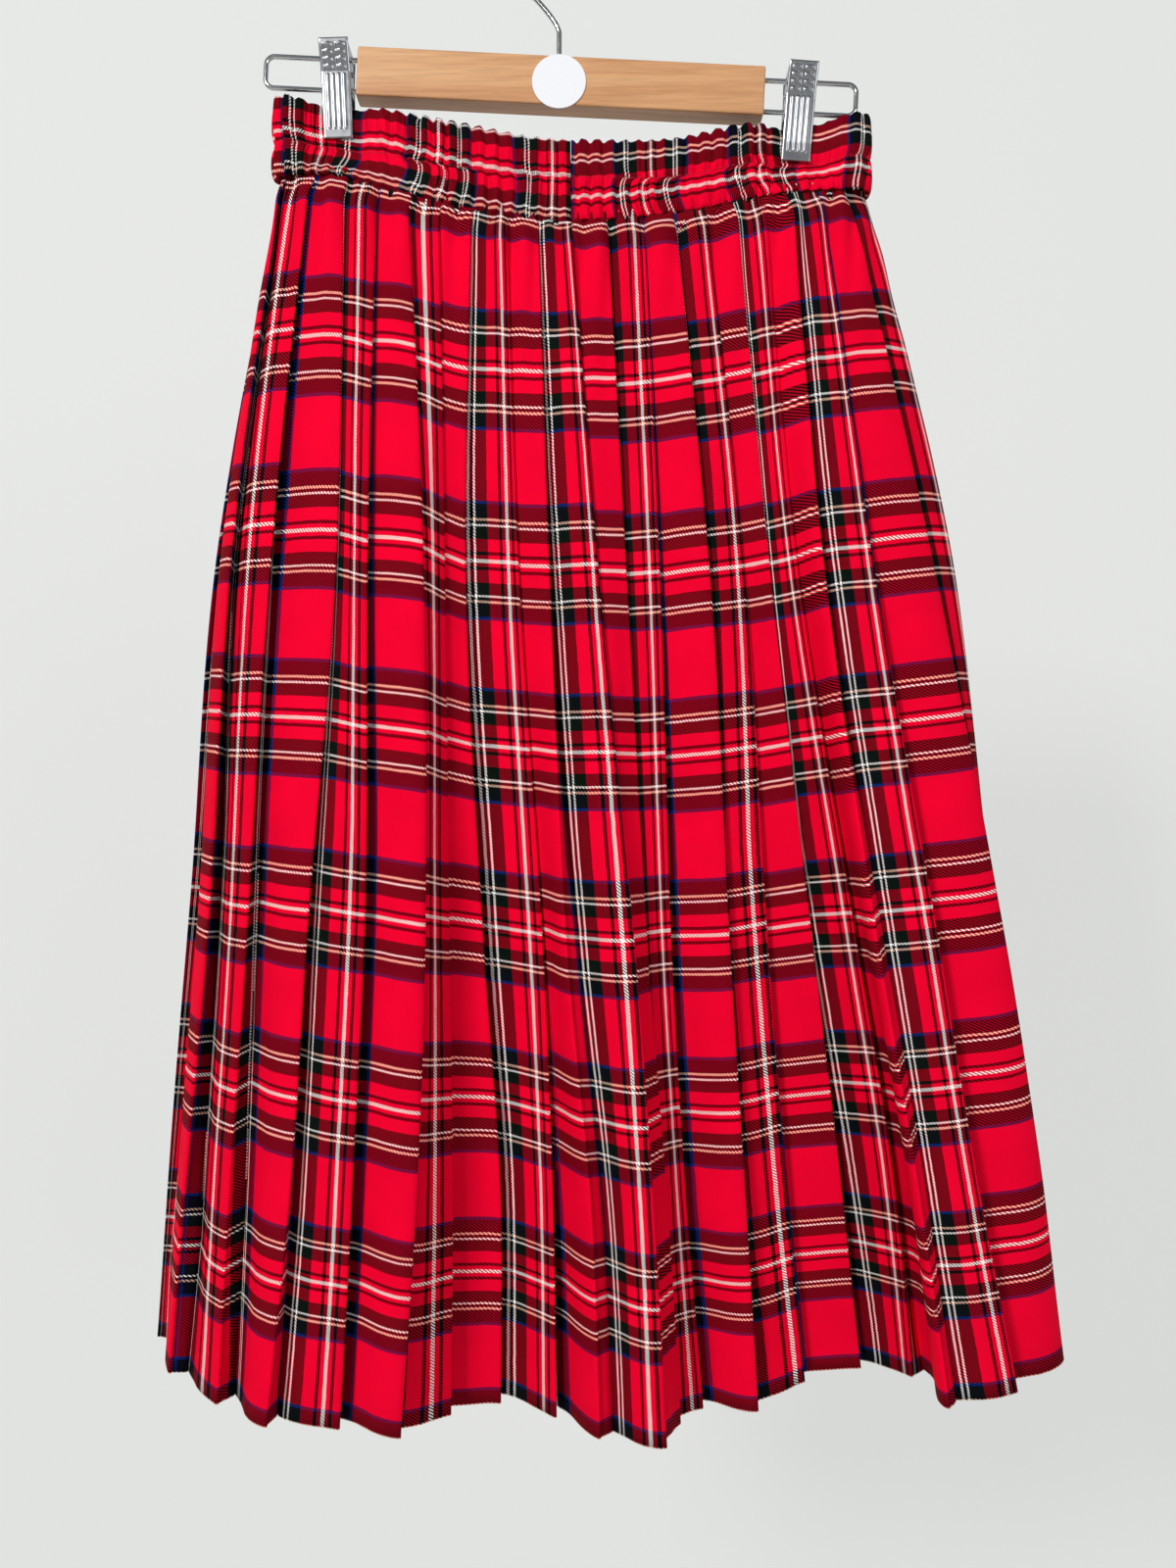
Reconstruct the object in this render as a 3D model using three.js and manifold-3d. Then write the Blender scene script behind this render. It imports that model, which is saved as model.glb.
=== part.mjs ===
// A pleated midi skirt of checked cloth, held at the waist by the two clips of a wooden hanger.
// Millimetres, +Z up. The front faces -Y, so "depth" below is measured towards -Y.
// The origin is the point inside the hook's bowl that bears on a rail.
import * as THREE from 'three';
import { mergeVertices } from 'three/addons/utils/BufferGeometryUtils.js';
import Module from 'manifold-3d';

const wasm = await Module();
wasm.setup();

// Cloth of the skirt
const CLOTH = 1.0; // thickness of the wall
const FOLD = 1.6; // between the middles of the two layers at a crease
const SEAM = 0.3; // gap between pieces that are sewn together
const LENGTH = 704; // from the waist seam to the hem, along the cloth
const SETT = 108.2; // one repeat of the check, which two pleats share
const SKIRT_X = 8; // the skirt's middle hangs this far to the right of the hook
const PLEAT_WAIST = 6.5; // how deep a valley lies behind its crease, at the waist
const PLEAT_HEM = 12; // and at the hem
const PLEAT_DEEPEST = 0.72; // a valley's greatest depth, as a share of what the cloth allows
const PLEAT_SLACK = 0.8; // least cloth that a pleat has to spare, on each side of its valley
const PANEL_AT = [0, 0.36, 0.72]; // where a pleat's panel is bent, from its valley to its crease
const TUCK_REACH = 330; // how far below the waist the tucked folds are whole again
const WAIST_HALF = 176; // half the width of the pressed waist
const WAIST_DEPTH = 15; // how far the creases stand from the middle plane at the waist
const WAIST_SQUARENESS = 8; // power of the flat oval that the waist is pressed to

// Heights of the named sections, measured down the cloth from the waist seam
const STATION = { waist: 0, hip: 215, mid: 423, low: 576, hem: LENGTH };
const FLARE = { waist: 0, hip: 0.48, mid: 0.71, low: 0.87, hem: 1 };
const RINGS = [0, 70, 170, 285, 400, 510, 610, LENGTH];

// One row for each pleat crease, in the order of travel: along the front from left to right.
// waist to hem: distance of the crease to the right of the skirt's middle at that section.
// depth: how far the crease stands in front of the middle plane at the hem.
// sett: place of the crease in the repeat of the check.
// tuck: share of the hidden fold that is kept where a pleat turns round the end of the flat waist.
const FRONT = [
  { name: 'B0', waist: -170, hip: -200, mid: -214, low: -227, hem: -238, depth: -2, sett: 66 },
  { name: 'A1', waist: -152, hip: -173, mid: -185, low: -194, hem: -200, depth: 30, sett: 13, tuck: 0.6 },
  { name: 'B1', waist: -133, hip: -134, mid: -147, low: -156, hem: -167, depth: 52, sett: 67 },
  { name: 'A2', waist: -114, hip: -117, mid: -117, low: -123, hem: -129, depth: 46, sett: 10 },
  { name: 'B2', waist: -96, hip: -85, mid: -83, low: -87, hem: -95, depth: 45, sett: 63 },
  { name: 'A3', waist: -78, hip: -74, mid: -72, low: -70, hem: -71, depth: 9, sett: 12 },
  { name: 'B3', waist: -59, hip: -63, mid: -54, low: -44, hem: -44, depth: -12, sett: 66 },
  { name: 'A4', waist: -39, hip: -32, mid: -19, low: -13, hem: -11, depth: -4, sett: 9 },
  { name: 'B4', waist: -21, hip: -14, mid: -4, low: 10, hem: 15, depth: 17, sett: 70 },
  { name: 'A5', waist: -2, hip: 15, mid: 35, low: 46, hem: 53, depth: 29, sett: 10 },
  { name: 'B5', waist: 19, hip: 31, mid: 43, low: 55, hem: 63, depth: 3, sett: 66 },
  { name: 'A6', waist: 40, hip: 50, mid: 57, low: 66, hem: 77, depth: -11, sett: 8 },
  { name: 'B6', waist: 58, hip: 79, mid: 91, low: 101, hem: 109, depth: -4, sett: 67 },
  { name: 'A7', waist: 76, hip: 100, mid: 115, low: 128, hem: 141, depth: -28, sett: 6 },
  { name: 'B7', waist: 93, hip: 115, mid: 141, low: 161, hem: 176, depth: -34, sett: 64 },
  { name: 'A8', waist: 109, hip: 130, mid: 164, low: 189, hem: 203, depth: -17, sett: 9 },
  { name: 'B8', waist: 125, hip: 143, mid: 172, low: 196, hem: 214, depth: 22, sett: 65 },
  { name: 'A9', waist: 142, hip: 172, mid: 208, low: 232, hem: 256, depth: 12, sett: 7 },
  { name: 'B9', waist: 159, hip: 209, mid: 251, low: 277, hem: 294, depth: -14, sett: 66 },
];

// The same for the back, from right to left. The sections between follow the flare.
const BACK = [
  { name: 'A10', waist: 174, hem: 286, depth: -50, sett: 8 },
  { name: 'B10', waist: 155, hem: 263, depth: -73, sett: 66, tuck: 0.45 },
  { name: 'A11', waist: 136, hem: 232, depth: -88, sett: 10, tuck: 0.45 },
  { name: 'B11', waist: 117, hem: 199, depth: -96, sett: 64 },
  { name: 'A12', waist: 98, hem: 167, depth: -98, sett: 8 },
  { name: 'B12', waist: 79, hem: 138, depth: -93, sett: 67 },
  { name: 'A13', waist: 60, hem: 110, depth: -80, sett: 9 },
  { name: 'B13', waist: 41, hem: 81, depth: -71, sett: 65 },
  { name: 'A14', waist: 22, hem: 50, depth: -73, sett: 10 },
  { name: 'B14', waist: 3, hem: 21, depth: -84, sett: 66 },
  { name: 'A15', waist: -16, hem: -7, depth: -93, sett: 7 },
  { name: 'B15', waist: -35, hem: -37, depth: -91, sett: 68 },
  { name: 'A16', waist: -55, hem: -66, depth: -77, sett: 9 },
  { name: 'B16', waist: -75, hem: -97, depth: -66, sett: 64 },
  { name: 'A17', waist: -94, hem: -128, depth: -66, sett: 8 },
  { name: 'B17', waist: -113, hem: -157, depth: -77, sett: 66 },
  { name: 'A18', waist: -132, hem: -188, depth: -84, sett: 9 },
  { name: 'B18', waist: -152, hem: -227, depth: -72, sett: 65 },
  { name: 'A19', waist: -172, hem: -259, depth: -42, sett: 9 },
];
const PLEATS = [...FRONT, ...BACK];

// Heights of the waistband's three sewing lines below the hook, across its width
const BAND = [
  { x: -176, top: -100, stitch: -126, seam: -146 },
  { x: -137, top: -104, stitch: -128, seam: -147 },
  { x: -98, top: -112, stitch: -138, seam: -157 },
  { x: -61, top: -119, stitch: -144, seam: -166 },
  { x: -24, top: -126, stitch: -147, seam: -172 },
  { x: 10, top: -128, stitch: -149, seam: -173 },
  { x: 58, top: -127, stitch: -149, seam: -169 },
  { x: 97, top: -119, stitch: -142, seam: -162 },
  { x: 127, top: -116, stitch: -138, seam: -157 },
  { x: 176, top: -110, stitch: -135, seam: -154 },
];

// Waistband: two elastic channels, gathered in small ruffles
const BAND_HALF = 173; // half the width
const BAND_DEPTH = 11; // middle of its wall from the middle plane
const BAND_JOIN_X = -1; // where the two ends of the strip are sewn together
const RUFFLES = 92; // waves round the waist
const RUFFLE_HEIGHT = 1.1;
// Ruffles differ: waves that move them along the band, and one that changes their height
const RUFFLE_DRIFT = [{ share: 0.28, turn: 1.9 }, { share: 0.16, turn: 0.73 }];
const RUFFLE_CHANGE = { share: 0.25, turn: 0.41 };
// One row for each ring: place between two sewing lines, wall, share of the clips' pinch, ruffle
const BAND_RINGS = [
  { from: 'seam', to: 'stitch', part: 0, wall: 1.8, pinch: 0, ruffle: 1 },
  { from: 'seam', to: 'stitch', part: 0.5, wall: 3.2, pinch: 0.5, ruffle: 0.8 },
  { from: 'seam', to: 'stitch', part: 1, wall: 2.0, pinch: 1, ruffle: 0.7 },
  { from: 'stitch', to: 'top', part: 0.5, wall: 3.2, pinch: 1, ruffle: 0.7 },
  { from: 'stitch', to: 'top', part: 1, wall: 2.0, pinch: 1, ruffle: 1 },
];
const PINCHED_DEPTH = 1.95; // middle of each layer between the jaws
const PINCH_PAST = 1; // the layers stay flat this far past the jaws
const PINCH_REACH = 12; // then they spread again over about this distance

// Hanger
const BAR = { x: 1, z: -90.3, length: 238, height: 28.5, depth: 14, round: 1.2 };
const BAR_TILT = THREE.MathUtils.degToRad(2.8); // the right end hangs lower
const WIRE = 1.5; // radius of the end loops
const LOOP = { reach: 173.5, upper: 9.4, lower: -9, corner: 5 };
const HOOK = { wire: 1.6, bowl: 22.6, stemTop: -57, bendX: -4.5, bendZ: -49.5, start: 235, end: -38 };
const DISC = { x: 0, z: -91.5, radius: 15.7, thick: 0.4 };

// Clips: each has two sprung plates on a pin, and is threaded on both wires of a loop
const CLIPS = [
  { side: 'left', x: -130, tilt: THREE.MathUtils.degToRad(-1.8) },
  { side: 'right', x: 141, tilt: THREE.MathUtils.degToRad(4.2) },
];
const PLATE = { width: 17, thick: 1.0, lip: 4.4 };
// Side view of the front plate: depth at each distance below the clip's top
const PLATE_PROFILE = [
  { down: 0, depth: 11.5 },
  { down: 3, depth: 11 },
  { down: 17, depth: 6.6 },
  { down: 32, depth: 5.6 },
  { down: 44, depth: PLATE.lip },
  { down: 54.5, depth: PLATE.lip },
];
// The flanges turn back from the plate's sides. Their roots start this far inside its middle.
const FLANGE = { top: 2.5, bottom: 29, past: 3.2, wall: 1.0, root: 0.2 };
const PIN = { down: 15.3, radius: 1.5, overhang: 0.9 };
const SPRING = { radius: 3.3, half: 5.8 };
const WIRE_HOLE = 2.3;
const RUNNING = 0.3; // gap between metal pieces that move on each other

// Fineness of the round forms
const STEPS = 10; // samples of the skirt's outline between two creases
const SMOOTH = 7; // its direction is averaged over this far each way
const MITRE_LIMIT = 0.35; // keeps the outside of a sharp crease from running out
const SIDES = { bore: 10, pin: 12, spring: 16, disc: 40, wire: 8, barCorner: 6 };
const WIRE_STEPS = { loop: 34, hook: 36, bowl: 22 };

const materials = {
  cloth: new THREE.MeshStandardMaterial({ color: 0xc8102e, roughness: 0.92, metalness: 0 }),
  band: new THREE.MeshStandardMaterial({ color: 0xa51026, roughness: 0.95, metalness: 0 }),
  wood: new THREE.MeshStandardMaterial({ color: 0xc98f5c, roughness: 0.6, metalness: 0 }),
  chrome: new THREE.MeshStandardMaterial({ color: 0xb9bcc0, roughness: 0.22, metalness: 1 }),
  spring: new THREE.MeshStandardMaterial({ color: 0x8c8f93, roughness: 0.35, metalness: 1 }),
  paper: new THREE.MeshStandardMaterial({ color: 0xf4f4f6, roughness: 0.7, metalness: 0 }),
};

// Smooth curve through the values of a short table, read at one place
function through(places, values, at) {
  const last = places.length - 1;
  let i = 0;
  while (i < last - 1 && at > places[i + 1]) i += 1;
  const slope = (k) => {
    const a = Math.max(k - 1, 0);
    const b = Math.min(k + 1, last);
    return (values[b] - values[a]) / (places[b] - places[a]);
  };
  const span = places[i + 1] - places[i];
  const t = Math.min(Math.max((at - places[i]) / span, 0), 1);
  const t2 = t * t;
  const t3 = t2 * t;
  const ends = (2 * t3 - 3 * t2 + 1) * values[i] + (3 * t2 - 2 * t3) * values[i + 1];
  return ends + (t3 - 2 * t2 + t) * span * slope(i) + (t3 - t2) * span * slope(i + 1);
}

function bandHeight(x, line) {
  return through(BAND.map((row) => row.x), BAND.map((row) => row[line]), x);
}

// Depth of the pressed waist: nearly straight across, and round at its two ends
function waistDepth(x) {
  return WAIST_DEPTH * Math.sqrt(1 - Math.abs(x / WAIST_HALF) ** WAIST_SQUARENESS);
}

// Place of one crease at one distance down the cloth. The cloth keeps its length as it swings out.
function creaseAt(row, side, down) {
  const sections = side > 0
    ? Object.keys(STATION).map((name) => row[name])
    : Object.values(FLARE).map((share) => row.waist + (row.hem - row.waist) * share);
  const x = through(Object.values(STATION), sections, down);
  const top = side * waistDepth(row.waist);
  const depth = top + (row.depth - top) * (down / LENGTH);
  const sideways = Math.hypot(x - row.waist, depth - top);
  const z = bandHeight(row.waist, 'seam') - Math.sqrt(Math.max(down * down - sideways * sideways, 0));
  return { x, depth, z };
}

// Closed smooth line through the creases, which can be read by distance along it
function carrier(down) {
  const points = [
    ...FRONT.map((row) => creaseAt(row, 1, down)),
    ...BACK.map((row) => creaseAt(row, -1, down)),
  ];
  const count = points.length;
  const flat = points.map((p) => new THREE.Vector3(p.x, p.depth, 0));
  const curve = new THREE.CatmullRomCurve3(flat, true, 'centripetal');
  const samples = [];
  let run = 0;
  for (let k = 0; k <= count * STEPS; k += 1) {
    const p = curve.getPoint((k % (count * STEPS)) / (count * STEPS));
    const before = samples[k - 1];
    if (before) run += Math.hypot(p.x - before.x, p.y - before.depth);
    const i = Math.floor(k / STEPS);
    const part = k / STEPS - i;
    const z = points[i % count].z * (1 - part) + points[(i + 1) % count].z * part;
    samples.push({ run, x: p.x, depth: p.y, z });
  }
  const crease = (i) => Math.floor(i / count) * run + samples[(((i % count) + count) % count) * STEPS].run;
  const read = (s) => {
    const at = ((s % run) + run) % run;
    let low = 0;
    let high = samples.length - 1;
    while (high - low > 1) {
      const middle = (low + high) >> 1;
      if (samples[middle].run > at) high = middle;
      else low = middle;
    }
    const t = (at - samples[low].run) / (samples[high].run - samples[low].run);
    const mix = (key) => samples[low][key] * (1 - t) + samples[high][key] * t;
    return { x: mix('x'), depth: mix('depth'), z: mix('z') };
  };
  const inside = (s, deep) => {
    const p = read(s);
    const a = read(s - SMOOTH);
    const b = read(s + SMOOTH);
    const size = Math.hypot(b.x - a.x, b.depth - a.depth);
    return {
      x: p.x + (deep * (b.depth - a.depth)) / size,
      depth: p.depth - (deep * (b.x - a.x)) / size,
      z: p.z,
    };
  };
  return { crease, inside };
}

// Cloth between a crease and the one before it
function clothBefore(i) {
  const here = PLEATS[i % PLEATS.length].sett;
  const before = PLEATS[(i - 1 + PLEATS.length) % PLEATS.length].sett;
  return here > before ? here - before : here - before + SETT;
}

// Middle line of the cloth at one section, from the valley before pleat "first" on.
// A pleat runs from its valley out to its crease, then back in to the next valley.
// The cloth between two creases fixes how far back under the pleat the valley lies.
function pleatLine(down, first, count) {
  const line = carrier(down);
  const wanted = PLEAT_WAIST + (PLEAT_HEM - PLEAT_WAIST) * (down / LENGTH);
  const valley = (i) => {
    const before = line.crease(i - 1);
    const pitch = line.crease(i) - before;
    const half = Math.max(clothBefore(i) / 2, pitch / 2 + PLEAT_SLACK);
    const most = Math.sqrt(half * half - (pitch * pitch) / 4);
    const deep = Math.min(wanted, PLEAT_DEEPEST * most);
    const under = half * Math.sqrt(1 - (deep * deep) / (most * most)) - pitch / 2;
    const kept = PLEATS[i % PLEATS.length].tuck ?? 1;
    const share = kept + (1 - kept) * Math.min(down / TUCK_REACH, 1);
    return { s: before - under * share, deep };
  };
  const points = [];
  for (let i = first; i < first + count; i += 1) {
    const start = valley(i);
    const end = valley(i + 1);
    const s = line.crease(i);
    for (const t of PANEL_AT) {
      points.push(line.inside(start.s + (s - start.s) * t, (start.deep + FOLD) * (1 - t)));
    }
    points.push(line.inside(s, 0), line.inside(s, FOLD));
    points.push(line.inside((s + end.s) / 2, (FOLD + end.deep) / 2), line.inside(end.s, end.deep));
  }
  return points;
}

// Offsets a plan line to both sides by half the wall. Corners are mitred.
function bothSides(points, wall) {
  const last = points.length - 1;
  const across = (i) => {
    const a = points[i];
    const b = points[i + 1];
    const size = Math.hypot(b.x - a.x, b.depth - a.depth);
    return { x: -(b.depth - a.depth) / size, depth: (b.x - a.x) / size };
  };
  const shift = points.map((p, i) => {
    const n = across(Math.max(i - 1, 0));
    const m = across(Math.min(i, last - 1));
    const mitre = wall / 2 / Math.max(1 + n.x * m.x + n.depth * m.depth, MITRE_LIMIT);
    return { x: (n.x + m.x) * mitre, depth: (n.depth + m.depth) * mitre };
  });
  const side = (sign) => points.map((p, i) => ({
    x: p.x + sign * shift[i].x,
    depth: p.depth + sign * shift[i].depth,
    z: p.z,
  }));
  return { outer: side(1), inner: side(-1) };
}

// Closed solid through sections that each have an outer and an inner line
function wallSolid(sections) {
  const count = sections[0].outer.length;
  const loop = 2 * count;
  const positions = [];
  for (const section of sections) {
    for (const p of [...section.outer, ...[...section.inner].reverse()]) {
      positions.push(p.x + SKIRT_X, -p.depth, p.z);
    }
  }
  const index = [];
  const quad = (a, b, c, d) => index.push(a, b, c, a, c, d);
  for (let r = 0; r < sections.length - 1; r += 1) {
    for (let j = 0; j < loop; j += 1) {
      const next = (j + 1) % loop;
      quad(r * loop + j, r * loop + next, (r + 1) * loop + next, (r + 1) * loop + j);
    }
  }
  const end = (sections.length - 1) * loop;
  for (let j = 0; j < count - 1; j += 1) {
    const back = loop - 1 - j;
    quad(j, back, back - 1, j + 1);
    quad(end + j, end + j + 1, end + back - 1, end + back);
  }
  const geometry = new THREE.BufferGeometry();
  geometry.setAttribute('position', new THREE.Float32BufferAttribute(positions, 3));
  geometry.setIndex(index);
  const made = facingOut(geometry);
  made.computeVertexNormals();
  return made;
}

function signedVolume(geometry) {
  const position = geometry.getAttribute('position');
  const index = geometry.getIndex().array;
  const corner = [new THREE.Vector3(), new THREE.Vector3(), new THREE.Vector3()];
  let volume = 0;
  for (let i = 0; i < index.length; i += 3) {
    corner.forEach((v, k) => v.fromBufferAttribute(position, index[i + k]));
    volume += corner[0].dot(corner[1].cross(corner[2])) / 6;
  }
  return volume;
}

function facingOut(geometry) {
  const whole = geometry.index ? geometry : mergeVertices(geometry);
  if (signedVolume(whole) < 0) whole.setIndex([...whole.getIndex().array].reverse());
  return whole;
}

function skirtPanel(name, first, count) {
  const sections = RINGS.map((down) => {
    const points = pleatLine(down, first, count);
    if (down === 0) points.forEach((p) => { p.z -= SEAM / 2; });
    return bothSides(points, CLOTH);
  });
  return mesh(name, wallSolid(sections), materials.cloth);
}

// Flattened loop of the waistband: distance along it from the middle of the front
function bandLoop(s) {
  const straight = BAND_HALF - BAND_DEPTH;
  const bend = Math.PI * BAND_DEPTH;
  const total = 4 * straight + 2 * bend;
  const at = ((s % total) + total) % total;
  if (at < straight) return { x: at, depth: BAND_DEPTH, total };
  if (at < straight + bend) {
    const turn = (at - straight) / BAND_DEPTH;
    return { x: straight + BAND_DEPTH * Math.sin(turn), depth: BAND_DEPTH * Math.cos(turn), total };
  }
  if (at < 3 * straight + bend) return { x: 2 * straight + bend - at, depth: -BAND_DEPTH, total };
  if (at < 3 * straight + 2 * bend) {
    const turn = (at - 3 * straight - bend) / BAND_DEPTH;
    return { x: -straight - BAND_DEPTH * Math.sin(turn), depth: -BAND_DEPTH * Math.cos(turn), total };
  }
  return { x: at - total, depth: BAND_DEPTH, total };
}

// 1 between a clip's jaws, falling to 0 on both sides of it
function pinchAt(x) {
  return Math.max(...CLIPS.map((clip) => {
    const away = Math.max(Math.abs(x - (clip.x - SKIRT_X)) - PLATE.width / 2 - PINCH_PAST, 0);
    return Math.exp(-((away / PINCH_REACH) ** 2));
  }));
}

// The two ends of the strip stay plain beside their join
function waistband() {
  const { total } = bandLoop(0);
  const half = RUFFLES * 2;
  const near = 0.5; // the band's direction is read this far each way
  const sections = BAND_RINGS.map((ring) => {
    const points = [];
    for (let j = 0; j <= half; j += 1) {
      const plain = j < 2 || j > half - 2;
      const drift = RUFFLE_DRIFT.reduce((sum, wave) => sum + wave.share * Math.sin(j * wave.turn), 0);
      const gap = j === 0 ? SEAM / 2 : j === half ? -SEAM / 2 : 0;
      const s = BAND_JOIN_X + gap + ((j + (plain ? 0 : drift)) / half) * total;
      const p = bandLoop(s);
      const q = bandLoop(s + near);
      const o = bandLoop(s - near);
      const size = Math.hypot(q.x - o.x, q.depth - o.depth);
      const squeeze = ring.pinch * pinchAt(p.x);
      const change = 1 - RUFFLE_CHANGE.share * (1 - Math.sin(j * RUFFLE_CHANGE.turn));
      const height = plain ? 0 : RUFFLE_HEIGHT * ring.ruffle * (1 - squeeze) * change;
      const wave = height * (j % 2 ? 1 : -1);
      const depth = p.depth * (1 - squeeze) + Math.sign(p.depth) * PINCHED_DEPTH * squeeze;
      const low = bandHeight(p.x, ring.from);
      const high = bandHeight(p.x, ring.to);
      points.push({
        x: p.x - ((q.depth - o.depth) / size) * wave,
        depth: depth + ((q.x - o.x) / size) * wave,
        z: low + (high - low) * ring.part + (ring.part === 0 ? SEAM / 2 : 0),
      });
    }
    return bothSides(points, ring.wall);
  });
  return mesh('waistband', wallSolid(sections), materials.band);
}

function mesh(name, geometry, material) {
  const made = new THREE.Mesh(geometry, material);
  made.name = name;
  return made;
}

// Booleans between closed geometries
function solid(geometry) {
  const bare = geometry.clone();
  for (const key of Object.keys(bare.attributes)) {
    if (key !== 'position') bare.deleteAttribute(key);
  }
  const merged = mergeVertices(bare, 1e-4);
  return new wasm.Manifold(new wasm.Mesh({
    numProp: 3,
    vertProperties: new Float32Array(merged.getAttribute('position').array),
    triVerts: new Uint32Array(merged.getIndex().array),
  }));
}

function geometryOf(body) {
  const data = body.getMesh();
  const geometry = new THREE.BufferGeometry();
  geometry.setAttribute('position', new THREE.BufferAttribute(new Float32Array(data.vertProperties), 3));
  geometry.setIndex(new THREE.BufferAttribute(new Uint32Array(data.triVerts), 1));
  geometry.computeVertexNormals();
  return geometry;
}

// Round wire along a path
function wire(path, radius, steps) {
  const shape = new THREE.Shape();
  shape.absarc(0, 0, radius, 0, Math.PI * 2, false);
  const curveSegments = SIDES.wire / 2; // an arc gets twice as many sides
  return new THREE.ExtrudeGeometry(shape, { steps, curveSegments, bevelEnabled: false, extrudePath: path });
}

// Cylinder lying along X
function crossPin(radius, half, sides) {
  return new THREE.CylinderGeometry(radius, radius, 2 * half, sides).rotateZ(Math.PI / 2);
}

function bar() {
  const { length, height, depth, round } = BAR;
  const shape = new THREE.Shape();
  const h = height / 2 - round;
  const d = depth / 2 - round;
  shape.absarc(d, h, round, 0, Math.PI / 2, false);
  shape.absarc(-d, h, round, Math.PI / 2, Math.PI, false);
  shape.absarc(-d, -h, round, Math.PI, Math.PI * 1.5, false);
  shape.absarc(d, -h, round, Math.PI * 1.5, Math.PI * 2, false);
  const settings = { depth: length, curveSegments: SIDES.barCorner / 2, bevelEnabled: false };
  const body = new THREE.ExtrudeGeometry(shape, settings);
  body.translate(0, 0, -length / 2);
  // extruded along Z with its height along Y: turned to lie along X with its height along Z
  body.rotateX(Math.PI / 2).rotateZ(Math.PI / 2);
  return mesh('hanger_bar', body, materials.wood);
}

// Flat wire loop that comes out of one end of the bar and goes back into it
function endLoop(name, sign) {
  const start = BAR.length / 2 + SEAM;
  const { reach, upper, lower, corner } = LOOP;
  const bend = 0.5523 * corner; // handle that makes a cubic a quarter circle
  const at = (x, z) => new THREE.Vector3(sign * x, 0, z);
  const path = new THREE.CurvePath();
  path.add(new THREE.LineCurve3(at(start, upper), at(reach - corner, upper)));
  path.add(new THREE.CubicBezierCurve3(
    at(reach - corner, upper), at(reach - corner + bend, upper),
    at(reach, upper - corner + bend), at(reach, upper - corner),
  ));
  path.add(new THREE.LineCurve3(at(reach, upper - corner), at(reach, lower + corner)));
  path.add(new THREE.CubicBezierCurve3(
    at(reach, lower + corner), at(reach, lower + corner - bend),
    at(reach - corner + bend, lower), at(reach - corner, lower),
  ));
  path.add(new THREE.LineCurve3(at(reach - corner, lower), at(start, lower)));
  return mesh(name, wire(path, WIRE, WIRE_STEPS.loop), materials.chrome);
}

// The stem stands on the bar, leans to the left and opens into the bowl
function hook() {
  const { wire: radius, bowl, stemTop, bendX, bendZ, start, end } = HOOK;
  const centre = radius - bowl; // the bowl's centre lies under the bearing point
  const highSide = (BAR.x + radius) * Math.tan(BAR_TILT);
  const foot = BAR.z + BAR.height / 2 / Math.cos(BAR_TILT) + highSide + SEAM;
  const points = [
    new THREE.Vector3(0, 0, foot),
    new THREE.Vector3(0, 0, (foot + stemTop) / 2),
    new THREE.Vector3(0, 0, stemTop),
    new THREE.Vector3(bendX, 0, bendZ),
  ];
  for (let i = 0; i <= WIRE_STEPS.bowl; i += 1) {
    const angle = THREE.MathUtils.degToRad(start + ((end - start) * i) / WIRE_STEPS.bowl);
    points.push(new THREE.Vector3(bowl * Math.cos(angle), 0, centre + bowl * Math.sin(angle)));
  }
  const path = new THREE.CatmullRomCurve3(points, false, 'centripetal');
  return mesh('hanger_hook', wire(path, radius, WIRE_STEPS.hook), materials.chrome);
}

function disc() {
  const round = new THREE.CylinderGeometry(DISC.radius, DISC.radius, DISC.thick, SIDES.disc);
  const made = mesh('hanger_disc', round, materials.paper);
  made.position.set(DISC.x, -(BAR.depth / 2 + RUNNING + DISC.thick / 2), DISC.z);
  return made;
}

// One plate with its two flanges. The front plate's flanges lie outside the back plate's.
// Both are drawn as depth and height, and extruded sideways.
function plate(front, slotTilt) {
  const rows = PLATE_PROFILE.map((row) => ({ x: -row.down, depth: row.depth }));
  const { outer, inner } = bothSides(rows, PLATE.thick);
  const outline = [...outer, ...inner.reverse()].map((p) => new THREE.Vector2(p.depth, p.x));
  const side = front ? 1 : -1;
  const stand = (from) => new THREE.Matrix4().set(0, 0, 1, from, -side, 0, 0, 0, 0, 1, 0, 0, 0, 0, 0, 1);
  const sheet = new THREE.ExtrudeGeometry(new THREE.Shape(outline), { depth: PLATE.width, bevelEnabled: false });
  let body = solid(facingOut(sheet.applyMatrix4(stand(-PLATE.width / 2))));
  const profile = (key) => PLATE_PROFILE.map((row) => row[key]);
  const root = (down) => through(profile('down'), profile('depth'), down) - FLANGE.root;
  const tab = new THREE.Shape();
  tab.moveTo(root(FLANGE.top), -FLANGE.top);
  tab.lineTo(root(PIN.down), -PIN.down);
  tab.lineTo(root(FLANGE.bottom), -FLANGE.bottom);
  tab.lineTo(-FLANGE.past, -FLANGE.bottom);
  tab.lineTo(-FLANGE.past, -FLANGE.top);
  const flangeOut = PLATE.width / 2 - (front ? 0 : FLANGE.wall + RUNNING);
  for (const from of [flangeOut - FLANGE.wall, -flangeOut]) {
    const flange = new THREE.ExtrudeGeometry(tab, { depth: FLANGE.wall, bevelEnabled: false });
    body = body.add(solid(facingOut(flange.applyMatrix4(stand(from)))));
  }
  const bore = crossPin(PIN.radius + RUNNING, PLATE.width, SIDES.bore).translate(0, 0, -PIN.down);
  body = body.subtract(solid(bore));
  for (const level of [LOOP.upper, LOOP.lower]) {
    const hole = crossPin(WIRE_HOLE, PLATE.width, SIDES.bore);
    body = body.subtract(solid(hole.rotateY(slotTilt).translate(0, 0, level - PIN.down)));
  }
  return geometryOf(body);
}

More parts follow.
